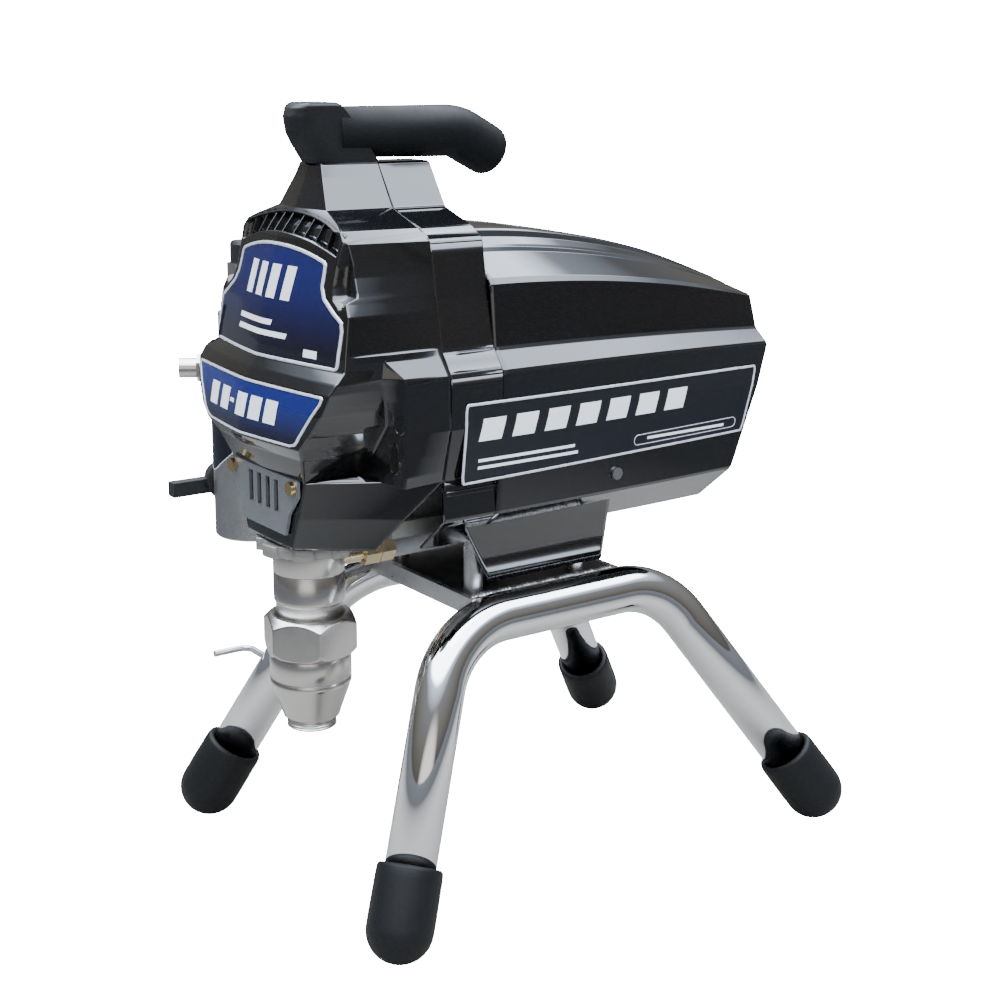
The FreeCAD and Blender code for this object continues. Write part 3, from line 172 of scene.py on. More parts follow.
def makeWearGroup():
    """A mask along sharp convex edges."""
    group, start, end = newGroup("edgeWear", [("Amount", "NodeSocketFloat", 1.0)],
                                 [("Mask", "NodeSocketFloat")])
    geometry = node(group, "ShaderNodeNewGeometry")
    sharp = node(group, "ShaderNodeMapRange", in_1=0.515, in_2=0.6, in_3=0.0, in_4=1.0)
    link(group, geometry.outputs["Pointiness"], sharp.inputs[0])
    scaled = node(group, "ShaderNodeMath", operation="MULTIPLY")
    link(group, sharp.outputs[0], scaled.inputs[0])
    link(group, start.outputs["Amount"], scaled.inputs[1])
    link(group, scaled.outputs[0], end.inputs[0])
    return group


effects = {"mottle": makeMottleGroup(), "grain": makeGrainGroup(),
           "specks": makeSpeckGroup(), "edgeWear": makeWearGroup()}

# ---------- materials ----------

finishes = {
    "chrome_tube": {"color": (0.83, 0.84, 0.86), "metal": 1, "rough": 0.055, "mottle": 0.25,
                    "mottleScale": 40, "dust": 0.12},
    "dark_paint": {"color": (0.02, 0.02, 0.022), "rough": 0.38, "grain": 0.12, "mottle": 0.3},
    "bright_steel": {"color": (0.62, 0.62, 0.63), "metal": 1, "rough": 0.3, "grain": 0.12,
                     "mottle": 0.35},
    "zinc_screw": {"color": (0.5, 0.5, 0.51), "metal": 1, "rough": 0.35, "mottle": 0.3},
    "black_rubber": {"color": (0.006, 0.006, 0.0065), "rough": 0.5, "specular": 0.16, "grain": 0.35,
                     "grainScale": 1400,
                     "mottle": 0.25, "dust": 0.05},
    "nickel": {"color": (0.62, 0.6, 0.57), "metal": 1, "rough": 0.24, "mottle": 0.25, "lines": 0.25},
    "carbide": {"color": (0.3, 0.3, 0.32), "metal": 1, "rough": 0.3, "mottle": 0.2},
    "cast_grey": {"color": (0.3, 0.29, 0.27), "metal": 0.7, "rough": 0.5, "grain": 0.5,
                  "grainScale": 500, "mottle": 0.3},
    "leather_packing": {"color": (0.3, 0.2, 0.1), "rough": 0.7, "grain": 0.4, "mottle": 0.3},
    "brass_part": {"color": (0.72, 0.6, 0.38), "metal": 1, "rough": 0.26, "mottle": 0.3},
    "brass_screw": {"color": (0.74, 0.58, 0.3), "metal": 1, "rough": 0.25, "mottle": 0.3},
    "bronze": {"color": (0.5, 0.35, 0.18), "metal": 1, "rough": 0.4, "grain": 0.3, "mottle": 0.3},
    "bearing_steel": {"color": (0.6, 0.6, 0.62), "metal": 1, "rough": 0.18, "mottle": 0.2},
    "motor_paint": {"color": (0.06, 0.06, 0.065), "rough": 0.42, "grain": 0.2, "mottle": 0.25},
    "magnet": {"color": (0.05, 0.045, 0.045), "rough": 0.6, "grain": 0.4, "mottle": 0.2},
    "gloss_black": {"color": (0.0035, 0.0036, 0.004), "rough": 0.07, "coat": 0.6, "mottle": 0.3,
                    "mottleScale": 18, "dust": 0.03, "ripple": 0.05},
    "satin_black": {"color": (0.01, 0.01, 0.0105), "rough": 0.36, "specular": 0.3, "grain": 0.12, "mottle": 0.25,
                    "dust": 0.04},
    "white_print": {"color": (0.8, 0.82, 0.85), "rough": 0.3, "mottle": 0.1},
    "grey_plastic": {"color": (0.09, 0.092, 0.096), "rough": 0.4, "grain": 0.2, "mottle": 0.2},
    "black_plastic": {"color": (0.012, 0.012, 0.013), "rough": 0.42, "grain": 0.25, "mottle": 0.2},
    "board_green": {"color": (0.02, 0.12, 0.05), "rough": 0.4, "mottle": 0.4},
    "satin_alloy": {"color": (0.66, 0.66, 0.66), "metal": 1, "rough": 0.3, "lines": 0.3,
                    "mottle": 0.25},
    "mesh_steel": {"color": (0.5, 0.5, 0.5), "metal": 1, "rough": 0.45, "grain": 0.6, "mottle": 0.2},
    "grey_rubber": {"color": (0.2, 0.2, 0.205), "rough": 0.5, "grain": 0.3, "mottle": 0.25},
    "gear_steel": {"color": (0.42, 0.42, 0.43), "metal": 1, "rough": 0.32, "mottle": 0.3},
    "copper_core": {"color": (0.5, 0.28, 0.16), "metal": 1, "rough": 0.42, "mottle": 0.4},
    "hard_chrome": {"color": (0.8, 0.8, 0.82), "metal": 1, "rough": 0.06, "mottle": 0.2},
    "white_seal": {"color": (0.75, 0.74, 0.7), "rough": 0.45, "mottle": 0.2},
    "weld": {"color": (0.5, 0.49, 0.47), "metal": 1, "rough": 0.42, "grain": 0.6,
             "grainScale": 260, "mottle": 0.6, "mottleScale": 200},
    "silver_print": {"color": (0.62, 0.64, 0.67), "metal": 0.35, "rough": 0.28, "mottle": 0.15},
    # near-black; the side slots use it for their floors as painted shade in those recesses
    "seam_dark": {"color": (0.002, 0.002, 0.002), "rough": 0.5, "mottle": 0.2},
}


def effect(tree, name, **values):
    made = tree.nodes.new("ShaderNodeGroup")
    made.node_tree = effects[name]
    for key, value in values.items():
        made.inputs[key.capitalize()].default_value = value
    return made


def mix(tree, a, b, factor):
    """A colour between a and b; factor is a socket."""
    made = node(tree, "ShaderNodeMix", data_type="RGBA")
    for socket, value in ((made.inputs[6], a), (made.inputs[7], b)):
        if isinstance(value, tuple):
            socket.default_value = (*value, 1)
        else:
            link(tree, value, socket)
    link(tree, factor, made.inputs[0])
    return made.outputs[2]


def makeMaterial(name, f, color=None):
    material = bpy.data.materials.new(name)
    material.use_nodes = True
    tree = material.node_tree
    shader = tree.nodes["Principled BSDF"]
    base = f["color"]
    mottle = effect(tree, "mottle", scale=f.get("mottleScale", 60.0), amount=f.get("mottle", 0.2))
    if color is None:
        darker = tuple(c * 0.6 for c in base)
        half = node(tree, "ShaderNodeMath", operation="MULTIPLY", in_1=0.5)
        link(tree, mottle.outputs[0], half.inputs[0])
        color = mix(tree, darker, tuple(min(1, c * 1.25) for c in base), half.outputs[0])
    else:
        color = color(tree)
    if f.get("dust"):
        specks = effect(tree, "specks")
        faint = node(tree, "ShaderNodeMath", operation="MULTIPLY", in_1=f["dust"])
        link(tree, specks.outputs[0], faint.inputs[0])
        color = mix(tree, color, (0.4, 0.38, 0.35), faint.outputs[0])
    link(tree, color, shader.inputs["Base Color"])
    shader.inputs["Metallic"].default_value = f.get("metal", 0)
    shader.inputs["Coat Weight"].default_value = f.get("coat", 0)
    shader.inputs["Coat Roughness"].default_value = 0.03
    shader.inputs["Specular IOR Level"].default_value = f.get("specular", 0.5)
    rough = node(tree, "ShaderNodeMath", operation="MULTIPLY", in_1=f["rough"])
    link(tree, mottle.outputs[0], rough.inputs[0])
    link(tree, rough.outputs[0], shader.inputs["Roughness"])
    if f.get("grain"):
        grain = effect(tree, "grain", scale=f.get("grainScale", 900.0), strength=f["grain"])
        link(tree, grain.outputs[0], shader.inputs["Normal"])
    elif f.get("lines"):
        lines = effect(tree, "grain", scale=1.0, strength=f["lines"], depth=0.00008)
        lines.inputs["Stretch"].default_value = (60, 60, 4200)
        link(tree, lines.outputs[0], shader.inputs["Normal"])
    elif f.get("ripple"):
        ripple = effect(tree, "grain", scale=26.0, strength=f["ripple"], depth=0.002)
        link(tree, ripple.outputs[0], shader.inputs["Normal"])
    return material


materials = {name: makeMaterial(name, f) for name, f in finishes.items()}


def labelColor(low, high, bottom, top):
    """Near-black rising to blue between two heights."""

    def build(tree):
        coords = node(tree, "ShaderNodeTexCoord")
        parts = node(tree, "ShaderNodeSeparateXYZ")
        link(tree, coords.outputs["Object"], parts.inputs[0])
        rise = node(tree, "ShaderNodeMapRange", in_1=bottom, in_2=top, in_3=0.0, in_4=1.0,
                    interpolation_type="SMOOTHSTEP")
        link(tree, parts.outputs["Z"], rise.inputs[0])
        return mix(tree, low, high, rise.outputs[0])

    return build


materials["upper_label"] = makeMaterial(
    "upper_label", {"color": (0, 0, 0), "rough": 0.22, "coat": 0.4},
    labelColor((0.003, 0.003, 0.007), (0.004, 0.0065, 0.055), 0.355, 0.408))
materials["lower_label"] = makeMaterial(
    "lower_label", {"color": (0, 0, 0), "rough": 0.22, "coat": 0.4},
    labelColor((0.004, 0.0045, 0.014), (0.005, 0.0105, 0.09), 0.308, 0.334))
materials["side_label"] = makeMaterial(
    "side_label", {"color": (0, 0, 0), "rough": 0.3, "coat": 0.2},
    labelColor((0.003, 0.004, 0.009), (0.006, 0.0065, 0.008), 0.28, 0.325))


def paintNodes():
    """Each CAD piece takes the finish of its material slot."""
    for entry in frame["record"]["subparts"]:
        piece = frame["nodes"][entry["node"]]
        piece.data.materials.clear()
        piece.data.materials.append(materials[entry["material_slot"]])


paintNodes()
print("materials made")

# ---------- building pieces ----------


def addMesh(name, points, faces, material, body="frame", smooth=True, replaces=(), slot=None):
    """A mesh from a row of points in millimetres and a list of faces."""
    mesh = bpy.data.meshes.new(name)
    mesh.from_pydata((np.asarray(points, float) * mm).tolist(), [], faces)
    mesh.validate()
    mesh.materials.append(materials[material])
    if smooth:
        mesh.shade_smooth()
    piece = bpy.data.objects.new(name, mesh)
    bpy.context.scene.collection.objects.link(piece)
    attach(piece, body)
    if replaces:
        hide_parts(*replaces)
    return piece


def gridFaces(rows, columns, closeRows=False, closeColumns=False, flip=False):
    """Quads of a rows x columns grid of points numbered row by row."""
    r = np.arange(rows if closeRows else rows - 1)
    c = np.arange(columns if closeColumns else columns - 1)
    r, c = np.meshgrid(r, c, indexing="ij")
    r2, c2 = (r + 1) % rows, (c + 1) % columns
    quads = np.stack([r * columns + c, r * columns + c2, r2 * columns + c2, r2 * columns + c], -1)
    quads = quads.reshape(-1, 4)
    return (quads[:, ::-1] if flip else quads).tolist()


def edges(piece, width, angle=25, segments=3):
    """Rounds the sharp edges."""
    bevel = piece.modifiers.new("roundedEdges", "BEVEL")
    bevel.width = width * mm
    bevel.segments = segments
    bevel.limit_method = "ANGLE"
    bevel.angle_limit = math.radians(angle)
    bevel.harden_normals = True
    return piece


def thicken(piece, thickness, offset=-1):
    solid = piece.modifiers.new("wall", "SOLIDIFY")
    solid.thickness = thickness * mm
    solid.offset = offset
    return piece


def softened(profile, radius, steps=4):
    """A polyline with each corner replaced by a short arc-like curve, from a quadratic blend."""
    out = [np.array(profile[0], float)]
    for before, here, after in zip(profile, profile[1:], profile[2:]):
        a, b, c = (np.array(p, float) for p in (before, here, after))
        la, lc = np.linalg.norm(a - b), np.linalg.norm(c - b)
        reach = min(radius, la * 0.45, lc * 0.45)
        p, q = b + (a - b) / la * reach, b + (c - b) / lc * reach
        t = np.linspace(0, 1, steps + 1)[:, None]
        out += list((1 - t) ** 2 * p + 2 * t * (1 - t) * b + t ** 2 * q)
    out.append(np.array(profile[-1], float))
    return np.array(out)


def axisFrame(direction):
    """Two unit vectors square to a direction, and the direction itself."""
    d = np.array(direction, float)
    d /= np.linalg.norm(d)
    helper = np.array([0, 0, 1.0]) if abs(d[2]) < 0.9 else np.array([1.0, 0, 0])
    u = np.cross(helper, d)
    u /= np.linalg.norm(u)
    return u, np.cross(d, u), d


def lathe(name, profile, base, direction, material, segments=96, shape=None, **extra):
    """A profile of (radius, height) turned about an axis: p = base + r cos a u + r sin a v + h d.
    A profile that starts or ends on the axis gets a pole there; any other is closed on itself.
    shape(angle, radius, height) may change the radius."""
    profile = np.array(profile, float)
    u, v, d = axisFrame(direction)
    base = np.array(base, float)
    poles = [(row, profile[row, 1]) for row in (0, -1) if profile[row, 0] < 0.01]
    profile = profile[profile[:, 0] >= 0.01]
    angle = np.linspace(0, 2 * np.pi, segments, endpoint=False)
    r = np.repeat(profile[:, :1], segments, 1)
    h = np.repeat(profile[:, 1:], segments, 1)
    if shape:
        r = shape(angle[None, :], r, h)
    points = (base + (r * np.cos(angle))[..., None] * u
              + (r * np.sin(angle))[..., None] * v + h[..., None] * d).reshape(-1, 3)
    rows = len(profile)
    faces = gridFaces(rows, segments, closeRows=not poles, closeColumns=True)
    for row, height in poles:
        first = 0 if row == 0 else (rows - 1) * segments
        ring = first + np.arange(segments)
        after = first + (np.arange(segments) + 1) % segments
        pair = (after, ring) if row == 0 else (ring, after)
        faces += [(*two, len(points)) for two in zip(*(p.tolist() for p in pair))]
        points = np.vstack([points, base + height * d])
    return addMesh(name, points, faces, material, **extra)


def roundedRoute(corners, bend, step=2.5):
    """Straight runs joined by arcs that touch both, as evenly spaced points."""
    corners = [np.array(c, float) for c in corners]
    route = [corners[0]]
    for before, here, after in zip(corners, corners[1:], corners[2:]):
        a = (before - here) / np.linalg.norm(before - here)
        c = (after - here) / np.linalg.norm(after - here)
        half = math.acos(float(np.clip(a @ c, -1, 1))) / 2
        reach = bend / math.tan(half)
        middle = (a + c) / np.linalg.norm(a + c)
        centre = here + middle * bend / math.sin(half)
        start, end = here + a * reach - centre, here + c * reach - centre
        turn = math.acos(float(np.clip(start @ end / bend ** 2, -1, 1)))
        count = max(3, int(turn * bend / step))
        for k in range(count + 1):
            t = k / count
            route.append(centre + (math.sin((1 - t) * turn) * start + math.sin(t * turn) * end)
                         / math.sin(turn))
    route.append(corners[-1])
    return np.array(route)


def tube(name, route, radius, material, segments=48, caps=True, **extra):
    """A tube along a route. radius is a number or one number for each point of it.
    Each ring's frame is the last one turned by the least that follows the route."""
    route = np.array(route, float)
    count = len(route)
    radii = np.broadcast_to(np.asarray(radius, float), (count,))
    along = np.gradient(route, axis=0)
    along /= np.linalg.norm(along, axis=1)[:, None]
    u = axisFrame(along[0])[0]
    angle = np.linspace(0, 2 * np.pi, segments, endpoint=False)
    rings = []
    for i in range(count):
        u = u - along[i] * (u @ along[i])
        u /= np.linalg.norm(u)
        v = np.cross(along[i], u)
        rings.append(route[i] + radii[i] * (np.cos(angle)[:, None] * u + np.sin(angle)[:, None] * v))
    points = np.vstack(rings)
    faces = gridFaces(count, segments, closeColumns=True)
    if caps:
        faces.append(list(range(segments))[::-1])
        faces.append(list(range((count - 1) * segments, count * segments)))
    return addMesh(name, points, faces, material, **extra)


# ---------- stand ----------

stand = {"railX": 69, "railZ": 181, "splay": 19.6, "bend": 62, "radius": 16,
         "corners": ((-176, 169.7), (-101, 0), (70, 0), (176, 169.7))}


def legCorners(side):
    """The corners of a bent rail, in its own tilted plane."""
    a = math.radians(stand["splay"])
    return [np.array([side * (stand["railX"] + s * math.sin(a)), y, stand["railZ"] - s * math.cos(a)])
            for y, s in stand["corners"]]


def makeStand():
    for side, name in ((1, "right"), (-1, "left")):
        corners = legCorners(side)
        tube("legTube_" + name, roundedRoute(corners, stand["bend"], 1.5), stand["radius"],
             "chrome_tube", segments=96, replaces=("frame_tube_" + name,))
        for end, knee, place in ((0, 1, "front"), (3, 2, "rear")):
            makeFoot(f"foot_{place}_{name}", corners[end], corners[knee])
        makeWeld("weld_" + name, side)
    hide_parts("rubber_feet")


def makeFoot(name, end, knee):
    up = (knee - end) / np.linalg.norm(knee - end)
    dome = [(20.9 * math.sin(a), -20.7 * math.cos(a)) for a in np.linspace(0, math.pi / 2, 14)]
    rim = [(21, 8), (20.8, 30), (20.6, 35.6), (20.1, 37.2), (19, 38), (17.4, 38), (16.3, 37.4),
           (16.1, 36), (16.1, 4), (0, 4)]
    piece = lathe(name, dome + rim, end - up * 0.5, up, "black_rubber")
    co = np.empty(len(piece.data.vertices) * 3)
    piece.data.vertices.foreach_get("co", co)
    co = co.reshape(-1, 3)
    co[:, 2] = np.maximum(co[:, 2], 0)
    piece.data.vertices.foreach_set("co", co.ravel())


def makeWeld(name, side):
    """A run of overlapping weld ripples where the plate meets the tube."""
    for part, (y0, y1, x, z) in enumerate(((-78, 42, 57.6, 192.2),)):
        count = int((y1 - y0) / 0.8)
        y = np.linspace(y0, y1, count)
        wobble = np.sin(y * 0.9) * 0.35 + np.sin(y * 0.37 + 1) * 0.5
        route = np.stack([side * (x + 0.3 * np.sin(y * 0.53)), y, z + 0.25 * wobble], 1)
        ripple = 2.9 + 0.45 * np.sin(y * 2.1) + 0.5 * wobble * 0.6
        ripple[0] = ripple[-1] = 0.4
        tube(f"{name}_{part}", route, ripple, "weld", segments=16)


makeStand()
print("stand made")

# ---------- pump ----------

pumpAxis = (0, -162.5, 108)


def threads(pitch, depth, low, high):
    """Changes a radius into a helix's between two heights."""

    def shape(angle, r, h):
        ridge = np.abs(((h / pitch - angle / (2 * np.pi)) % 1) * 2 - 1)
        fade = np.clip(np.minimum(h - low, high - h) / pitch, 0, 1)
        return r - depth * ridge * fade * (r > 3)

    return shape


def profileWith(profile, low, high, radius, step):
    """A profile with fine rings between two heights, for threads."""
    rings = [(radius, h) for h in np.arange(low, high, step)]
    before = [p for p in profile if p[1] < low]
    return before + rings + [p for p in profile if p[1] >= high]


def makePump():
    inlet = profileWith([(11.6, -0.2), (12.5, -0.2), (15.2, -0.1)], 0.4, 7, 16.05, 0.25)
    body = [(16, 7), (17.2, 7.2), (18.3, 7.6), (18.6, 8.4), (19.3, 11), (25.6, 29.2),
            (26.25, 31), (26.25, 34), (25.9, 34.3), (25.9, 35), (26.25, 35.3), (26.25, 49.6),
            (25.6, 51), (20.6, 51), (20.4, 60)]
    lathe("intakeHousing", [(11, 14), (11, 0.6)] + inlet + body, pumpAxis, (0, 0, 1), "nickel",
          segments=128, shape=threads(1.6, 0.9, 0.4, 7), replaces=("intake_housing",))
    tube_ = [(21, 66), (21.2, 77.5), (21.5, 78), (21.5, 84.6), (22.2, 85.4), (22.7, 86.4),
             (22.8, 88), (22.8, 104), (22.5, 104.4), (22.5, 105.2), (22.8, 105.6), (22.8, 118.8),
             (22.8, 127), (22.8, 144.6), (22.2, 146), (17.2, 146), (17.2, 66)]
    lathe("pumpBarrel", tube_, pumpAxis, (0, 0, 1), "nickel", segments=128,
          replaces=("pump_cylinder",))
    makeNut()
    makeJamNut()


def makeNut():
    """A hexagon whose corners are turned off: the lesser of the flat's and the chamfer's radius."""
    flats, turn = 27.2, math.radians(12)

    def shape(angle, r, h):
        wedge = (angle - turn) % (math.pi / 3) - math.pi / 6
        hexagon = flats / np.cos(wedge)
        chamfer = np.interp(h, (51, 51.8, 55, 71, 75.6, 76.6, 77), (27.4, 28.8, 31.6, 31.6, 27, 25.8, 25))
        outer = np.minimum(hexagon, chamfer)
        return np.where(r > 22, outer, r)

    heights = np.concatenate([np.linspace(51, 55, 9), np.linspace(57, 70, 6), np.linspace(71, 77, 12)])
    profile = [(21.6, 51)] + [(26, h) for h in heights] + [(21.6, 77)]
    lathe("pumpNut", profile, pumpAxis, (0, 0, 1), "nickel", segments=240, shape=shape,
          replaces=("pump_lower_nut",))


def makeJamNut():
    def shape(angle, r, h):
        lug = np.cos((angle - math.radians(10)) * 8)
        reach = 29.2 + 3.8 * np.clip((lug + 0.35) * 2.2, 0, 1)
        return np.where(r > 27, reach - (30 - r), r)

    profile = [(22.9, 119), (29.4, 119), (30, 119.6), (30, 126.4), (29.4, 127), (22.9, 127)]
    lathe("pumpJamNut", profile, pumpAxis, (0, 0, 1), "cast_grey", segments=192, shape=shape,
          replaces=("pump_jam_nut",))


makePump()
print("pump made")

# ---------- front cover ----------

deck = 194.0
frontStations = {
    # height above the floor: nose corner y, nose half width, how far the middle stands forward
    "z": (466, 458, 440, 434, 430, 423.5, 405, 391, 384, 361, 353.5, 347, 341, 328, 314, 306,
          298, 281.4, 258, 237),
    "y": (-156, -157.5, -162, -166, -169, -170.5, -174, -176.5, -177.5, -181, -181.8, -189,
          -193.5, -197, -200, -200.5, -196, -190, -190, -189.8),
    "x": (12.4, 16.5, 28.5, 47, 56, 62, 67, 73.5, 77.5, 79.5, 80, 82, 81, 76, 66, 58, 52, 44, 37,
          28),
    "bulge": (1, 2, 5, 6, 7, 8.5, 10, 11, 11.5, 13, 13, 10.5, 9, 8.5, 8, 7.5, 4, 2, 1, 1),
}
seamStations = {
    "z": (466, 440, 430, 423.5, 389.5, 361.3, 346.2, 314, 281.4, 258, 237),
    "x": (12.4, 29, 58, 69, 75, 81.2, 91.9, 92, 84, 72, 59),
    "y": (-116, -116, -116, -116, -116, -116, -116, -116, -116, -136, -150),
}


def along(stations, key, z):
    """Reads a table whose heights fall."""
    return np.interp(z, stations["z"][::-1], stations[key][::-1])


def frontY(x, z):
    """The nose face: y = corner - bulge (1 - (|x| / w)^1.25)."""
    w = along(frontStations, "x", z)
    share = np.clip(np.abs(x) / w, 0, 1) ** 1.25
    return along(frontStations, "y", z) - along(frontStations, "bulge", z) * (1 - share)


boxStations = {
    # the side box: its inner edge on the flank, and its outer corner
    "z": (361.3, 357.3, 347.6, 346, 344, 333, 318, 300, 288, 281.4),
    "innerX": (81, 80.6, 81, 80.5, 80, 77.5, 73.5, 61, 50, 46),
    "innerY": (-158, -156, -157.4, -157, -156, -152, -148.5, -150, -152, -152),
    "outerX": (82, 81.4, 89, 89.6, 90, 90, 90, 90, 89.6, 88),
    "outerY": (-150, -155.4, -147.4, -146.4, -146, -146, -146, -146, -146, -146),
}


def frontGrid(across, side):
    """Points of the front cover: the nose face between its corners, then each flank to the seam.
    The flank carries the side box between 281 and 361 mm."""
    heights = np.unique(np.concatenate([
        np.linspace(237, 466, 150), np.linspace(412, 442, 90), frontStations["z"],
        seamStations["z"], boxStations["z"], (281.2, 281.3)]))[::-1]
    s = np.linspace(-1, 1, across)
    t = np.linspace(0, 1, side)[1:]
    rows = []
    for z in heights:
        w, corner = (float(along(frontStations, key, z)) for key in "xy")
        seam = [float(along(seamStations, key, z)) for key in "xy"]
        face = np.stack([w * s, frontY(w * s, z), np.full(across, z)], 1)
        if 281.3 < z <= 361.3:
            inner = [float(along(boxStations, key, z)) for key in ("innerX", "innerY")]
            outer = [float(along(boxStations, key, z)) for key in ("outerX", "outerY")]
            path = np.array([(w, corner), inner, inner, outer, outer, seam])
            path[2] += (path[3] - path[1]) * 0.02
            path[4] += (path[5] - path[3]) * 0.02
        else:
            share = np.array([0, 0.45, 0.5, 0.7, 0.75, 1])[:, None]
            path = np.array([(w, corner)]) * (1 - share) + np.array([seam]) * share
        lengths = np.array([0, 0.45, 0.5, 0.7, 0.75, 1])
        fx, fy = np.interp(t, lengths, path[:, 0]), np.interp(t, lengths, path[:, 1])
        right = np.stack([fx, fy, np.full(len(t), z)], 1)
        rows.append(np.vstack([right[::-1] * (-1, 1, 1), face, right]))
    return np.array(rows)


def smoothStep(value, low, high):
    t = np.clip((value - low) / (high - low), 0, 1)
    return t * t * (3 - 2 * t)


ventDepth = 5


def ventArch(x):
    """The crown's line above the vent: z = 440.5 - 12.5 (x / 64)^2."""
    return 440.5 - 12.5 * (x / 64) ** 2


def carveFront(grid):
    """Presses the vent band, the scoops and the manifold's recess into the cover."""
    x, y, z = grid[..., 0], grid[..., 1], grid[..., 2]
    onFace = np.abs(x) <= along(frontStations, "x", z) + 0.01
    arch = ventArch(x)
    band = smoothStep(z, arch - 14.5, arch - 13) * (1 - smoothStep(z, arch - 4.2, arch - 3))
    band = band * (1 - smoothStep(np.abs(x), 56, 58)) * onFace
    y = y + band * ventDepth
    scoopX, scoopZ = np.abs(x) - 66.5, z - 403
    lean = scoopX - 3.5 * (z - 403) / 25 * -1
    width = np.interp(z, (388, 393, 400, 410, 430), (0.1, 7, 8.5, 7, 1.5))
    scoop = (1 - smoothStep(np.abs(lean) / width, 0.55, 1.0)) * (z > 388) * (z < 430)
    depth = 8 * scoop * np.interp(z, (388, 394, 412, 430), (0.2, 1, 0.8, 0.1))
    y = y + depth
    inside = np.hypot(x + 85, y + 157) < 28.5
    reach = -85 + np.sqrt(np.maximum(28.5 ** 2 - (y + 157) ** 2, 0))
    x = np.where(inside & (z < 376), np.maximum(x, reach), x)
    return np.stack([x, y, z], -1)


def makeFrontCover():
    grid = carveFront(frontGrid(201, 41))
    rows, columns = grid.shape[:2]
    piece = addMesh("frontCover", grid.reshape(-1, 3), gridFaces(rows, columns, flip=True),
                    "gloss_black", replaces=("front_cover",))
    thicken(piece, 2.2)
    makeVentRibs()
    makeBoxSlots()


def addBlocks(name, blocks, material, **extra):
    """Many six-sided blocks in one mesh. Each is eight points: a lower ring of four, an upper one."""
    points = np.array(blocks, float).reshape(-1, 3)
    sides = [(3, 2, 1, 0), (4, 5, 6, 7), (0, 1, 5, 4), (1, 2, 6, 5), (2, 3, 7, 6), (3, 0, 4, 7)]
    faces = [tuple(8 * k + i for i in side) for k in range(len(blocks)) for side in sides]
    return addMesh(name, points, faces, material, smooth=False, **extra)


def makeVentRibs():
    """Upright ribs across the vent, from its floor to just under the cover's face."""
    blocks = []
    for x in np.linspace(-46, 46, 9):
        x0, x1 = x - 0.7, x + 0.7
        rings = []
        for z in (float(ventArch(x)) - 14.2, float(ventArch(x)) - 3.2):
            front = float(frontY(x, z)) + 1.2
            rings += [(x0, front, z), (x1, front, z), (x1, front + 5, z), (x0, front + 5, z)]
        blocks.append(rings)
    edges(addBlocks("ventRibs", blocks, "gloss_black"), 0.25)


def stadium(width, height, count=40):
    """A closed loop of a slot's outline, anticlockwise."""
    a = np.linspace(0, 2 * np.pi, count, endpoint=False) + np.pi / count
    r = width / 2
    return np.stack([r * np.cos(a), r * np.sin(a) + np.sign(np.sin(a)) * (height / 2 - r)], 1)


def makeSlot(name, centre, across, up, width, height):
    """A sunk slot with a thin bright lip; its floor is a near-black face, painted shade in the recess. across
    and up span its plane.
    """
    across, up = np.array(across, float), np.array(up, float)
    out = np.cross(across, up)
    rings = []
    for grow, lift in ((1.3, -0.3), (0.9, 0.35), (0.2, 0.35), (0, -1.6)):
        loop = stadium(width + 2 * grow, height + 2 * grow)
        rings.append(np.array(centre) + loop[:, :1] * across + loop[:, 1:] * up + lift * out)
    count = len(rings[0])
    addMesh(name + "Lip", np.vstack(rings), gridFaces(4, count, closeColumns=True), "gloss_black")
    # the slot's floor: a near-black face painted in for the shade inside the recess
    floor = rings[-1] + out * 1.7
    addMesh(name, floor, [tuple(range(count))], "seam_dark", smooth=False, slot="gloss_black")


def makeBoxSlots():
    for side in (1, -1):
        for i, (z, height) in enumerate(((324, 19), (298, 17))):
            x0, y0, x1, y1 = (float(along(boxStations, key, z))
                              for key in ("innerX", "innerY", "outerX", "outerY"))
            direction = np.array([side * (x1 - x0), y1 - y0, 0])
            direction /= np.linalg.norm(direction)
            share = 0.6 if z > 310 else 0.62
            centre = (side * (x0 + (x1 - x0) * share), y0 + (y1 - y0) * share, z)
            across = direction if side > 0 else -direction
            makeSlot(f"boxSlot_{i}_{side + 1}", centre, across, (0, 0, 1), 5.6, height)


makeFrontCover()
print("front cover made")

# ---------- labels ----------


def boundary(shape, count=240):
    """The edge of a mapped square, once round, with the same number of points on each side."""
    t = np.linspace(0, 1, count // 4, endpoint=False)
    square = np.concatenate([np.stack([t * 2 - 1, 0 * t], 1), np.stack([0 * t + 1, t], 1),
                             np.stack([1 - t * 2, 0 * t + 1], 1), np.stack([0 * t - 1, 1 - t], 1)])
    return np.stack(shape(square[:, 0], square[:, 1]), 1)


def insetLoop(loop, distance):
    """A closed loop moved towards its inside by a distance."""
    along_ = np.roll(loop, -1, 0) - np.roll(loop, 1, 0)
    along_ /= np.linalg.norm(along_, axis=1)[:, None] + 1e-9
    normal = np.stack([-along_[:, 1], along_[:, 0]], 1)
    return loop + normal * distance


def makeRim(name, shape, surface, gap, width, rise, lift, flip):
    """A low raised band just inside a shape's outline."""
    loops = [(gap, rise - 0.3), (gap + 0.3, rise + lift), (gap + width - 0.3, rise + lift),
             (gap + width, rise - 0.3)]
    ring = np.stack([surface(*insetLoop(boundary(shape), d).T, h) for d, h in loops], 1)
    addMesh(name, ring.reshape(-1, 3), gridFaces(len(ring), 4, closeRows=True, flip=not flip),
            "silver_print", slot="gloss_black")


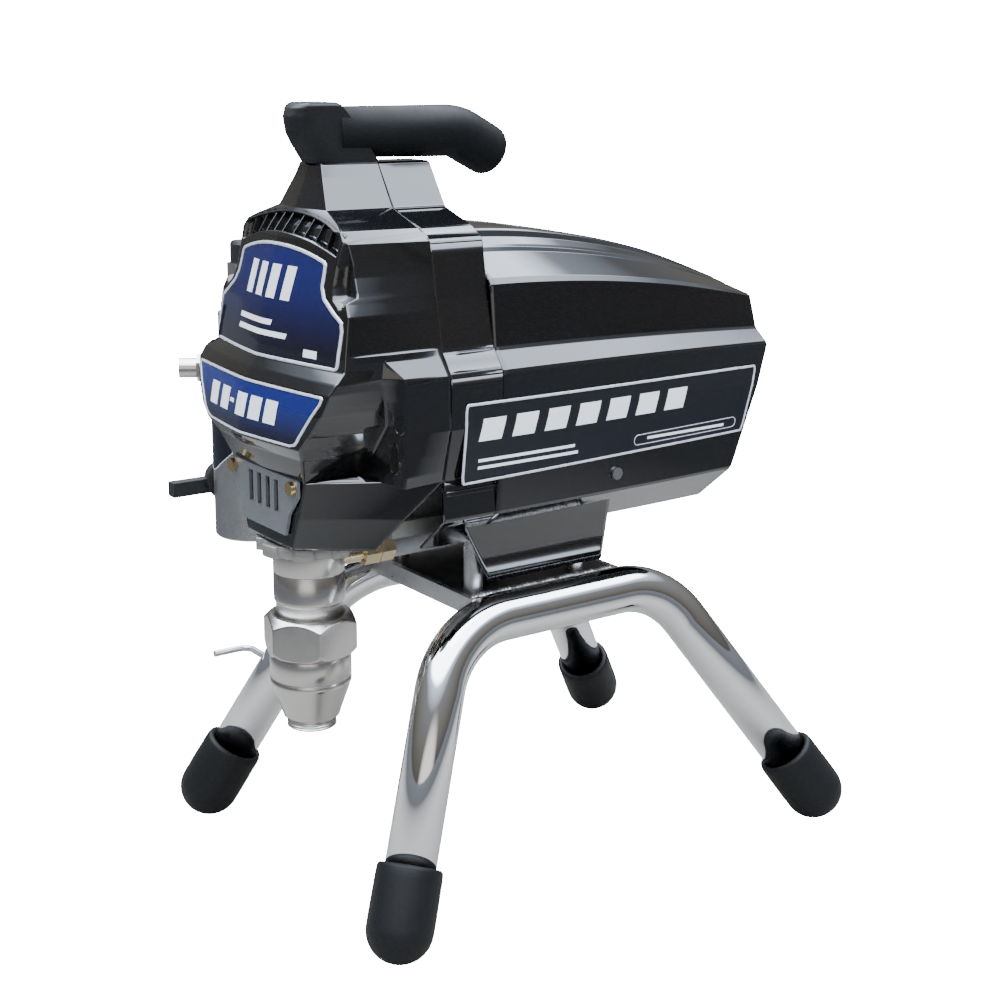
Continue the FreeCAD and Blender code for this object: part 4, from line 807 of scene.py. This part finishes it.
def makeLabel(name, shape, surface, material, border, rise=0.35, outward=1):
    """A printed plate on a surface with a raised rim. surface(u, v, lift) gives points in space."""
    s = np.linspace(-1, 1, 61)
    t = np.linspace(0, 1, 41)
    s, t = np.meshgrid(s, t)
    u, v = shape(s, t)
    points = surface(u, v, rise)
    plate = addMesh(name, points.reshape(-1, 3), gridFaces(*s.shape, flip=outward < 0), material,
                    slot="gloss_black")
    for part, (gap, width, lift) in enumerate(border):
        makeRim(f"{name}_rim{part}", shape, surface, gap, width, rise, lift, outward < 0)
    return plate


def onNose(u, v, lift):
    return np.stack([u, frontY(u, v) - lift, v], -1)


def upperLabel(s, t):
    """Arched at the top, drawn in at the shoulders, straight along the bottom."""
    z = 353 + t * (413.5 + 7 * (1 - s ** 2) - 353)
    low = 353 + t * (413.5 - 353)
    w = np.interp(low, (353, 354.2, 357, 376, 381.5, 386.5, 393, 399, 406, 411.5, 413.5),
                  (72, 74.2, 75, 75.2, 73.5, 65, 55.5, 52, 51.6, 51, 49))
    return s * w, z


def lowerLabel(s, t):
    z = 306.8 + t * (340.2 - 306.8)
    w = np.interp(z, (306.8, 308, 311, 335.5, 339, 340.2), (50, 55, 58.5, 76, 77, 75.5))
    return s * w, z


def makeMark(name, outline, surface, lift=0.55, steps=10, flip=False):
    """A flat printed shape: a four-cornered patch of the label, given in its own (u, v)."""
    a, b, c, d = (np.array(p, float) for p in outline)
    s, t = np.meshgrid(np.linspace(0, 1, steps), np.linspace(0, 1, steps))
    s, t = s[..., None], t[..., None]
    flat = (1 - t) * ((1 - s) * a + s * b) + t * ((1 - s) * d + s * c)
    points = surface(flat[..., 0], flat[..., 1], lift)
    addMesh(name, points.reshape(-1, 3), gridFaces(steps, steps, flip=flip), "white_print",
            slot="gloss_black")


def slanted(u, v, width, height, lean=0.0):
    """The corners of a leaning bar."""
    return ((u, v), (u + width, v), (u + width + lean, v + height), (u + lean, v + height))


def makeFrontMarks():
    """Plain bars in place of lettering."""
    for i, (u, v, width, height, lean) in enumerate((
            (-30, 388, 9, 20, 2), (-15, 388, 9, 20, 2), (0, 388, 9, 20, 2), (15, 388, 9, 20, 2),
            (-34, 366, 60, 3.2, 1), (-34, 372.5, 44, 3.2, 1), (44, 358, 12, 4.5, 0))):
        makeMark(f"upperMark_{i}", slanted(u, v, width, height, lean), onNose)
    for i, (u, v, width) in enumerate(((-50, 317.5, 12), (-32, 317.5, 12), (-8, 317.5, 12),
                                       (8, 317.5, 12), (24, 317.5, 12))):
        makeMark(f"lowerMark_{i}", slanted(u, v, width, 14, 1.5), onNose)
    makeMark("lowerDash", slanted(-17.5, 323.5, 6, 2.4), onNose, steps=4)


makeFrontMarks()
makeLabel("upperLabel", upperLabel, onNose, "upper_label", ((0, 2.1, 0.5),))
makeLabel("lowerLabel", lowerLabel, onNose, "lower_label", ((0, 1.7, 0.5),))

# ---------- rear shroud ----------

roofProfile = ((0, 232.6), (30, 232.3), (37, 231.6), (38.6, 230.6), (40.4, 226.6), (46.5, 222.6),
               (49.4, 221.2), (51, 218.4), (75, 205.6), (77.6, 202), (78, 197), (81.2, 165),
               (82.4, 162.6), (91, 152.4), (92, 150), (92, 120), (85, 63), (84, 61), (60, 39.4),
               (58, 38))


def roofAt(y):
    """The roof's half outline at y: its top falls by 43 b^1.9 towards the rear, b = (y + 75) / 225."""
    back = max(0.0, y + 75) / 225
    profile = np.array(roofProfile)
    share = np.clip((profile[:, 1] - 120) / 110, 0, None) ** 2
    x = profile[:, 0] * (1 - 7 * back ** 1.5 / 92)
    return np.stack([x, profile[:, 1] - 43 * back ** 1.9 * share + deck], 1)


def runShares(length, spacing):
    """Where to cut a run: evenly, and once close to each end so that the corner stays crisp."""
    even = np.linspace(0, 1, max(1, int(length / spacing)) + 1)[1:]
    near = [0.5 / length, 1 - 0.5 / length] if length > 2 else []
    return sorted({*even.tolist(), *near})


def densify(outline, cuts):
    """More points on each run of an outline, the corners kept."""
    out = [outline[0]]
    for a, b, shares in zip(outline, outline[1:], cuts):
        out += [a + (b - a) * share for share in shares]
    return np.array(out)


def cutsOf(outline, spacing=6):
    return [runShares(float(np.linalg.norm(b - a)), spacing) for a, b in zip(outline, outline[1:])]


def bothSides(half):
    """Left lower edge, over the ridge, to right lower edge."""
    return np.vstack([half[::-1] * (-1, 1), half[1:]])


def rearFaceY(z):
    """The rear face leans back up to its edge, then a little forwards."""
    rise = z - deck - 146
    return 149 + np.where(rise < 0, rise * 0.265, -rise * 0.16)


def makeShroud():
    stations = np.concatenate([np.linspace(-78, 142, 56), [146, 148.5]])
    cuts = cutsOf(roofAt(0))
    rows = []
    for y in stations:
        loop = bothSides(densify(roofAt(y), cuts))
        limit = rearFaceY(loop[:, 1])
        blend = smoothStep(y, 60, 148.5)
        depth = y * (1 - blend) + limit * blend * (y + 78) / 226.5 + blend * (-78 * (1 - (y + 78) / 226.5))
        rows.append(np.stack([loop[:, 0], depth, loop[:, 1]], 1))
    rim = rows[-1]
    foot = rim[:, 2].min()
    for inset in (0.985, 0.95, 0.8, 0.6, 0.4, 0.2, 0.02):
        flat = rim * (inset, 1, 1)
        flat[:, 2] = foot + (rim[:, 2] - foot) * inset
        flat[:, 1] = rearFaceY(flat[:, 2]) + (0.6 if inset < 0.98 else 0)
        rows.append(flat)
    grid = np.array(rows)
    piece = addMesh("rearShroud", grid.reshape(-1, 3),
                    gridFaces(grid.shape[0], grid.shape[1]), "gloss_black",
                    replaces=("rear_shroud",))
    edges(piece, 1.2, 14)
    thicken(piece, 2.2)


humpProfile = ((0, 272), (10.4, 272), (12.4, 271), (28.6, 247), (30, 245.2), (56, 236.8), (59, 235.6),
               (68, 230.2), (69.4, 228), (75, 195.5), (81.2, 167.3), (82, 165), (91, 153.4),
               (92, 151), (92, 120), (84, 87), (85, 63), (84, 61), (58, 38))


def makeHump():
    """The shroud's front band, with its rear face stepping down to the roof."""
    outline = np.array(humpProfile, float) + (0, deck)
    loop = bothSides(densify(outline, cutsOf(outline)))
    rows = []
    for y in (-115.7, -115.2, -105, -95, -85, -78.5):
        rows.append(np.stack([loop[:, 0], np.full(len(loop), y), loop[:, 1]], 1))
    last = rows[-1].copy()
    for share in (0.02, 0.12, 0.25):
        step = last.copy()
        step[:, 0] *= 1 - share
        step[:, 2] = deck + 120 + (last[:, 2] - deck - 120) * (1 - share)
        step[:, 1] = -77.6
        rows.append(step)
    grid = np.array(rows)
    piece = addMesh("shroudFront", grid.reshape(-1, 3), gridFaces(*grid.shape[:2]),
                    "gloss_black")
    edges(piece, 1.4, 14)
    thicken(piece, 2.0)


def makeSkirt(side):
    """The shroud's lower side panel, which runs down to the frame."""
    top, crease, bottom = ((-116, 16, 80, 85.6), (-91, 23, 48.5, 72.5), (-63, 30, 7.5, 57.5))
    levels = [(top, crease, t) for t in np.linspace(0, 1, 9)[:-1]]
    levels += [(crease, bottom, t) for t in np.linspace(0, 1, 9)]
    rows = []
    for a, b, t in levels:
        y0, y1, z, x = (p + (q - p) * t for p, q in zip(a, b))
        y = np.linspace(y0, y1, 40)
        rows.append(np.stack([np.full(40, side * x), y, np.full(40, deck + z)], 1))
    grid = np.array(rows)
    name = "skirt_" + ("right" if side > 0 else "left")
    piece = addMesh(name, grid.reshape(-1, 3), gridFaces(*grid.shape[:2], flip=side > 0),
                    "gloss_black")
    edges(piece, 1.2, 14)
    thicken(piece, 2.2)


makeShroud()
makeHump()
makeSkirt(1)
makeSkirt(-1)
print("rear shroud made")


def sideX(y, z):
    """The shroud's flank: half width at y and z."""
    flat = np.vectorize(lambda a, b: np.interp(b, roofAt(a)[::-1, 1], roofAt(a)[::-1, 0]))
    return flat(y, z)


def sideLabel(s, t):
    h = t - 0.5
    length = 1 - 0.018 * (1 - np.sqrt(np.clip(1 - np.clip((np.abs(h) - 0.36) / 0.14, 0, 1) ** 2, 0, 1)))
    z = np.where(s < 0, 277.4, 281) * 0
    front, back = -106.3, 131 + 8 * t
    y = (front + back) / 2 + s * length * (back - front) / 2
    low = 277.6 + (y + 106) / 237 * 4.2
    high = 328.6 - (y + 106) / 245 * 0.7
    return y, low + (high - low) * t


def onFlank(side):
    return lambda u, v, lift: np.stack([side * (sideX(u, v) + lift), u, v], -1)


def capsule(s, t):
    """A long rounded outline in the label's lower rear corner."""
    h = np.abs(t - 0.5) * 2
    ends = 3.6 * np.sqrt(np.clip(1 - h ** 2, 0, 1))
    return 77 + s * (43 + ends), 289 + (t - 0.5) * 7.6 + s * 0.6


def makeSideMarks(side, name):
    """A row of plain leaning blocks, two fine lines and a capsule, in place of lettering."""
    surface = onFlank(side)
    for i in range(7):
        makeMark(f"sideMark_{name}_{i}", slanted(-96 + i * 25, 304.5 + i * 0.25, 17, 14, 3),
                 surface, steps=4, flip=side < 0)
    for k in range(2):
        makeMark(f"sideLine_{name}_{k}", slanted(-95, 286.6 + 4.6 * k, 78 - 3 * k, 2),
                 surface, steps=6, flip=side < 0)
    makeRim(f"sideCapsule_{name}", capsule, surface, 0, 0.8, 0.3, 0.4, side < 0)
    makeMark(f"sideFill_{name}", slanted(42, 288, 70, 1.9), surface, steps=6, flip=side < 0)


for side, name in ((1, "right"), (-1, "left")):
    makeLabel("sideLabel_" + name, sideLabel, onFlank(side), "side_label", ((0, 1.8, 0.35),),
              outward=-side)
    makeSideMarks(side, name)


def onManifold(u, v, lift):
    """Wraps a shape round the manifold: u is the distance round it."""
    angle = -1.75 + u / 25
    return np.stack([-85 + (25 + lift) * np.cos(angle), -157 + (25 + lift) * np.sin(angle), v], -1)


def shield(s, t):
    z = 262 + t * 36
    return s * np.interp(z, (262, 264, 276, 296, 298), (1.5, 5, 20, 20, 19)), z


makeLabel("manifoldLabel", shield, onManifold, "side_label", ((0, 1.0, 0.25),), rise=0.3)
print("labels made")

# ---------- handle ----------


armStations = {
    # the arm's rear, the crease at its side, and the front of its rounded nose
    "z": (466, 478, 484, 493, 498, 500.6, 501.4),
    "rear": (-115, -123.5, -128, -134.5, -139, -141.5, -144),
    "side": (-137, -147, -152, -160, -163.5, -163.5, -161),
    "front": (-160.5, -168.5, -171.5, -172.5, -170, -167, -163),
}


def makeArm():
    """The handle's leaning arm: flat sides, and a nose that is half an ellipse in plan."""
    heights = np.concatenate([np.linspace(466, 493, 16), np.linspace(494, 501.4, 14)])
    angle = np.linspace(0, np.pi, 33)
    half = 12.4
    rows = []
    for z in heights:
        rear, side, front = (float(np.interp(z, armStations["z"], armStations[key]))
                             for key in ("rear", "side", "front"))
        width = half - 1.2 * smoothStep(z, 499, 501.4)
        nose = np.stack([width * np.cos(angle), side - (side - front) * np.sin(angle)], 1)
        flank = np.linspace(rear, side, 12)[:-1]
        right = np.stack([np.full(11, width), flank], 1)
        left = np.stack([np.full(11, -width), flank[::-1]], 1)
        back = np.stack([np.linspace(-width, width, 9)[1:-1], np.full(7, rear)], 1)
        ring = np.vstack([right, nose, left, back])
        rows.append(np.column_stack([ring, np.full(len(ring), z)]))
    last = rows[-1]
    centre = last.mean(0)
    for share in (0.9, 0.6, 0.3, 0.02):
        rows.append(centre + (last - centre) * (share, share, 0) + (0, 0, 0.3 * (1 - share)))
    grid = np.array(rows)
    piece = addMesh("handleArm", grid.reshape(-1, 3),
                    gridFaces(*grid.shape[:2], closeColumns=True, flip=True), "satin_black",
                    replaces=("handle_arm",), slot="gloss_black")
    edges(piece, 0.8, 30)


def makeGrip():
    """A soft sleeve: a collar at the arm, a shallow neck behind it and a full, drooping end."""
    route = roundedRoute([(0, -141, 483.6), (0, -52, 483.2), (0, -28, 471)], 30, 1.6)
    length = np.concatenate([[0], np.cumsum(np.linalg.norm(np.diff(route, axis=0), axis=1))])
    total = length[-1]
    radius = np.interp(length, (0, 2, 6, 14, 17, 19, 21, 25, 60, total - 30, total - 12, total),
                       (15.2, 16.9, 17.3, 17.1, 16.3, 16.5, 16.2, 16.4, 16.1, 16.0, 16.6, 16.2))
    end = (route[-1] - route[-2]) / np.linalg.norm(route[-1] - route[-2])
    caps = np.radians((12, 24, 36, 48, 60, 72, 84))
    tips = route[-1] + end * 11 * np.sin(caps)[:, None]
    route = np.vstack([route, tips])
    radius = np.concatenate([radius, 16.2 * np.cos(caps) ** 0.8])
    tube("handleGrip", route, radius, "black_rubber", segments=64, replaces=("handle_grip",))


makeArm()
makeGrip()
print("handle made")

def softenParts():
    """Small rounded edges on the machined and moulded parts that show."""
    widths = {"cross_bars": 0.5, "frame_plate": 0.5, "manifold_body": 0.4, "manifold_cap": 0.5,
              "fluid_outlet": 0.3, "pump_grille": 0.5, "drive_housing": 0.8, "hose_fittings": 0.4,
              "prime_valve_lever": 1.0, "prime_valve_body": 0.4, "pressure_knob": 0.5,
              "switch_housing": 0.5, "cord_gland": 0.5, "drain_fitting": 0.3, "grille_screws": 0.4,
              "cover_screws": 0.4, "pressure_sensor": 0.4, "motor_cradle": 0.6}
    for name, width in widths.items():
        edges(frame["nodes"][name], width, 35, 2)


softenParts()

# ---------- stage and light ----------


def makeStage():
    """A white floor. Mirrored, it is pale near the object and dark further off."""
    mesh = bpy.data.meshes.new("floor")
    s = 30.0
    mesh.from_pydata([(-s, -s, 0), (s, -s, 0), (s, s, 0), (-s, s, 0)], [], [(0, 1, 2, 3)])
    material = bpy.data.materials.new("floorPaint")
    material.use_nodes = True
    tree = material.node_tree
    shader = tree.nodes["Principled BSDF"]
    shader.inputs["Roughness"].default_value = 0.9
    coords = node(tree, "ShaderNodeTexCoord")
    reach = node(tree, "ShaderNodeVectorMath", operation="LENGTH")
    link(tree, coords.outputs["Object"], reach.inputs[0])
    far = node(tree, "ShaderNodeMapRange", in_1=0.3, in_2=0.75, in_3=0.0, in_4=1.0)
    link(tree, reach.outputs["Value"], far.inputs[0])
    mirrored = mix(tree, (0.42, 0.4, 0.37), (0.012, 0.012, 0.012), far.outputs[0])
    rays = node(tree, "ShaderNodeLightPath")
    color = mix(tree, (0.92, 0.92, 0.92), mirrored, rays.outputs["Is Glossy Ray"])
    link(tree, color, shader.inputs["Base Color"])
    shader.inputs["Emission Color"].default_value = (1, 1, 1, 1)
    glow = node(tree, "ShaderNodeMath", operation="MULTIPLY", in_1=floorGlow)
    link(tree, rays.outputs["Is Camera Ray"], glow.inputs[0])
    link(tree, glow.outputs[0], shader.inputs["Emission Strength"])
    mesh.materials.append(material)
    floor = bpy.data.objects.new("floor", mesh)
    bpy.context.scene.collection.objects.link(floor)


floorGlow = 30.0
skyStops = ((0.0, (0.25, 0.25, 0.25)), (0.47, (0.1, 0.1, 0.1)), (0.5, (0.12, 0.115, 0.11)),
            (0.6, (0.22, 0.21, 0.19)), (0.74, (0.3, 0.31, 0.33)), (0.81, (1.2, 1.35, 1.6)),
            (0.845, (8.5, 9.4, 10.8)), (1.0, (9.0, 9.8, 11.0)))


def makeWorld():
    """Dark towards the horizon, and bright and a little blue overhead. Seen directly it is white."""
    world = bpy.data.worlds.new("studio")
    bpy.context.scene.world = world
    world.use_nodes = True
    tree = world.node_tree
    back = tree.nodes["Background"]
    coords = node(tree, "ShaderNodeTexCoord")
    parts = node(tree, "ShaderNodeSeparateXYZ")
    link(tree, coords.outputs["Generated"], parts.inputs[0])
    ramp = node(tree, "ShaderNodeValToRGB")
    points = ramp.color_ramp.elements
    points[0].position, points[0].color = skyStops[0][0], (*skyStops[0][1], 1)
    points[1].position, points[1].color = skyStops[-1][0], (*skyStops[-1][1], 1)
    for place, color in skyStops[1:-1]:
        points.new(place).color = (*color, 1)
    share = node(tree, "ShaderNodeMath", operation="MULTIPLY_ADD", in_1=0.5, in_2=0.5)
    link(tree, parts.outputs["Z"], share.inputs[0])
    link(tree, share.outputs[0], ramp.inputs[0])
    facing = node(tree, "ShaderNodeVectorMath", operation="DOT_PRODUCT")
    link(tree, coords.outputs["Generated"], facing.inputs[0])
    facing.inputs[1].default_value = (0.79, -0.61, 0)
    glow = node(tree, "ShaderNodeMapRange", in_1=0.86, in_2=0.97, in_3=0.0, in_4=1.0,
                interpolation_type="SMOOTHSTEP")
    link(tree, facing.outputs["Value"], glow.inputs[0])
    mirrored = mix(tree, ramp.outputs[0], (1.5, 1.45, 1.35), glow.outputs[0])
    rays = node(tree, "ShaderNodeLightPath")
    lit = mix(tree, mirrored, (0.75, 0.79, 0.86), rays.outputs["Is Diffuse Ray"])
    color = mix(tree, lit, (30.0, 30.0, 30.0), rays.outputs["Is Camera Ray"])
    link(tree, color, back.inputs["Color"])


lamps = (
    {"name": "overhead", "at": (0.1, -0.2, 1.9), "aim": (0, 0, 0.2), "size": (1.2, 1.2), "power": 12,
     "color": (0.94, 0.97, 1)},
)


def makeLamps():
    for lamp in lamps:
        data = bpy.data.lights.new(lamp["name"], "AREA")
        data.shape = "RECTANGLE"
        data.size, data.size_y = lamp["size"]
        data.energy = lamp["power"]
        data.color = lamp["color"]
        light = bpy.data.objects.new(lamp["name"], data)
        light.location = lamp["at"]
        aim = Vector(lamp["aim"]) - Vector(lamp["at"])
        light.rotation_euler = aim.to_track_quat("-Z", "Y").to_euler()
        bpy.context.scene.collection.objects.link(light)


makeStage()
makeWorld()
makeLamps()
print("stage made")
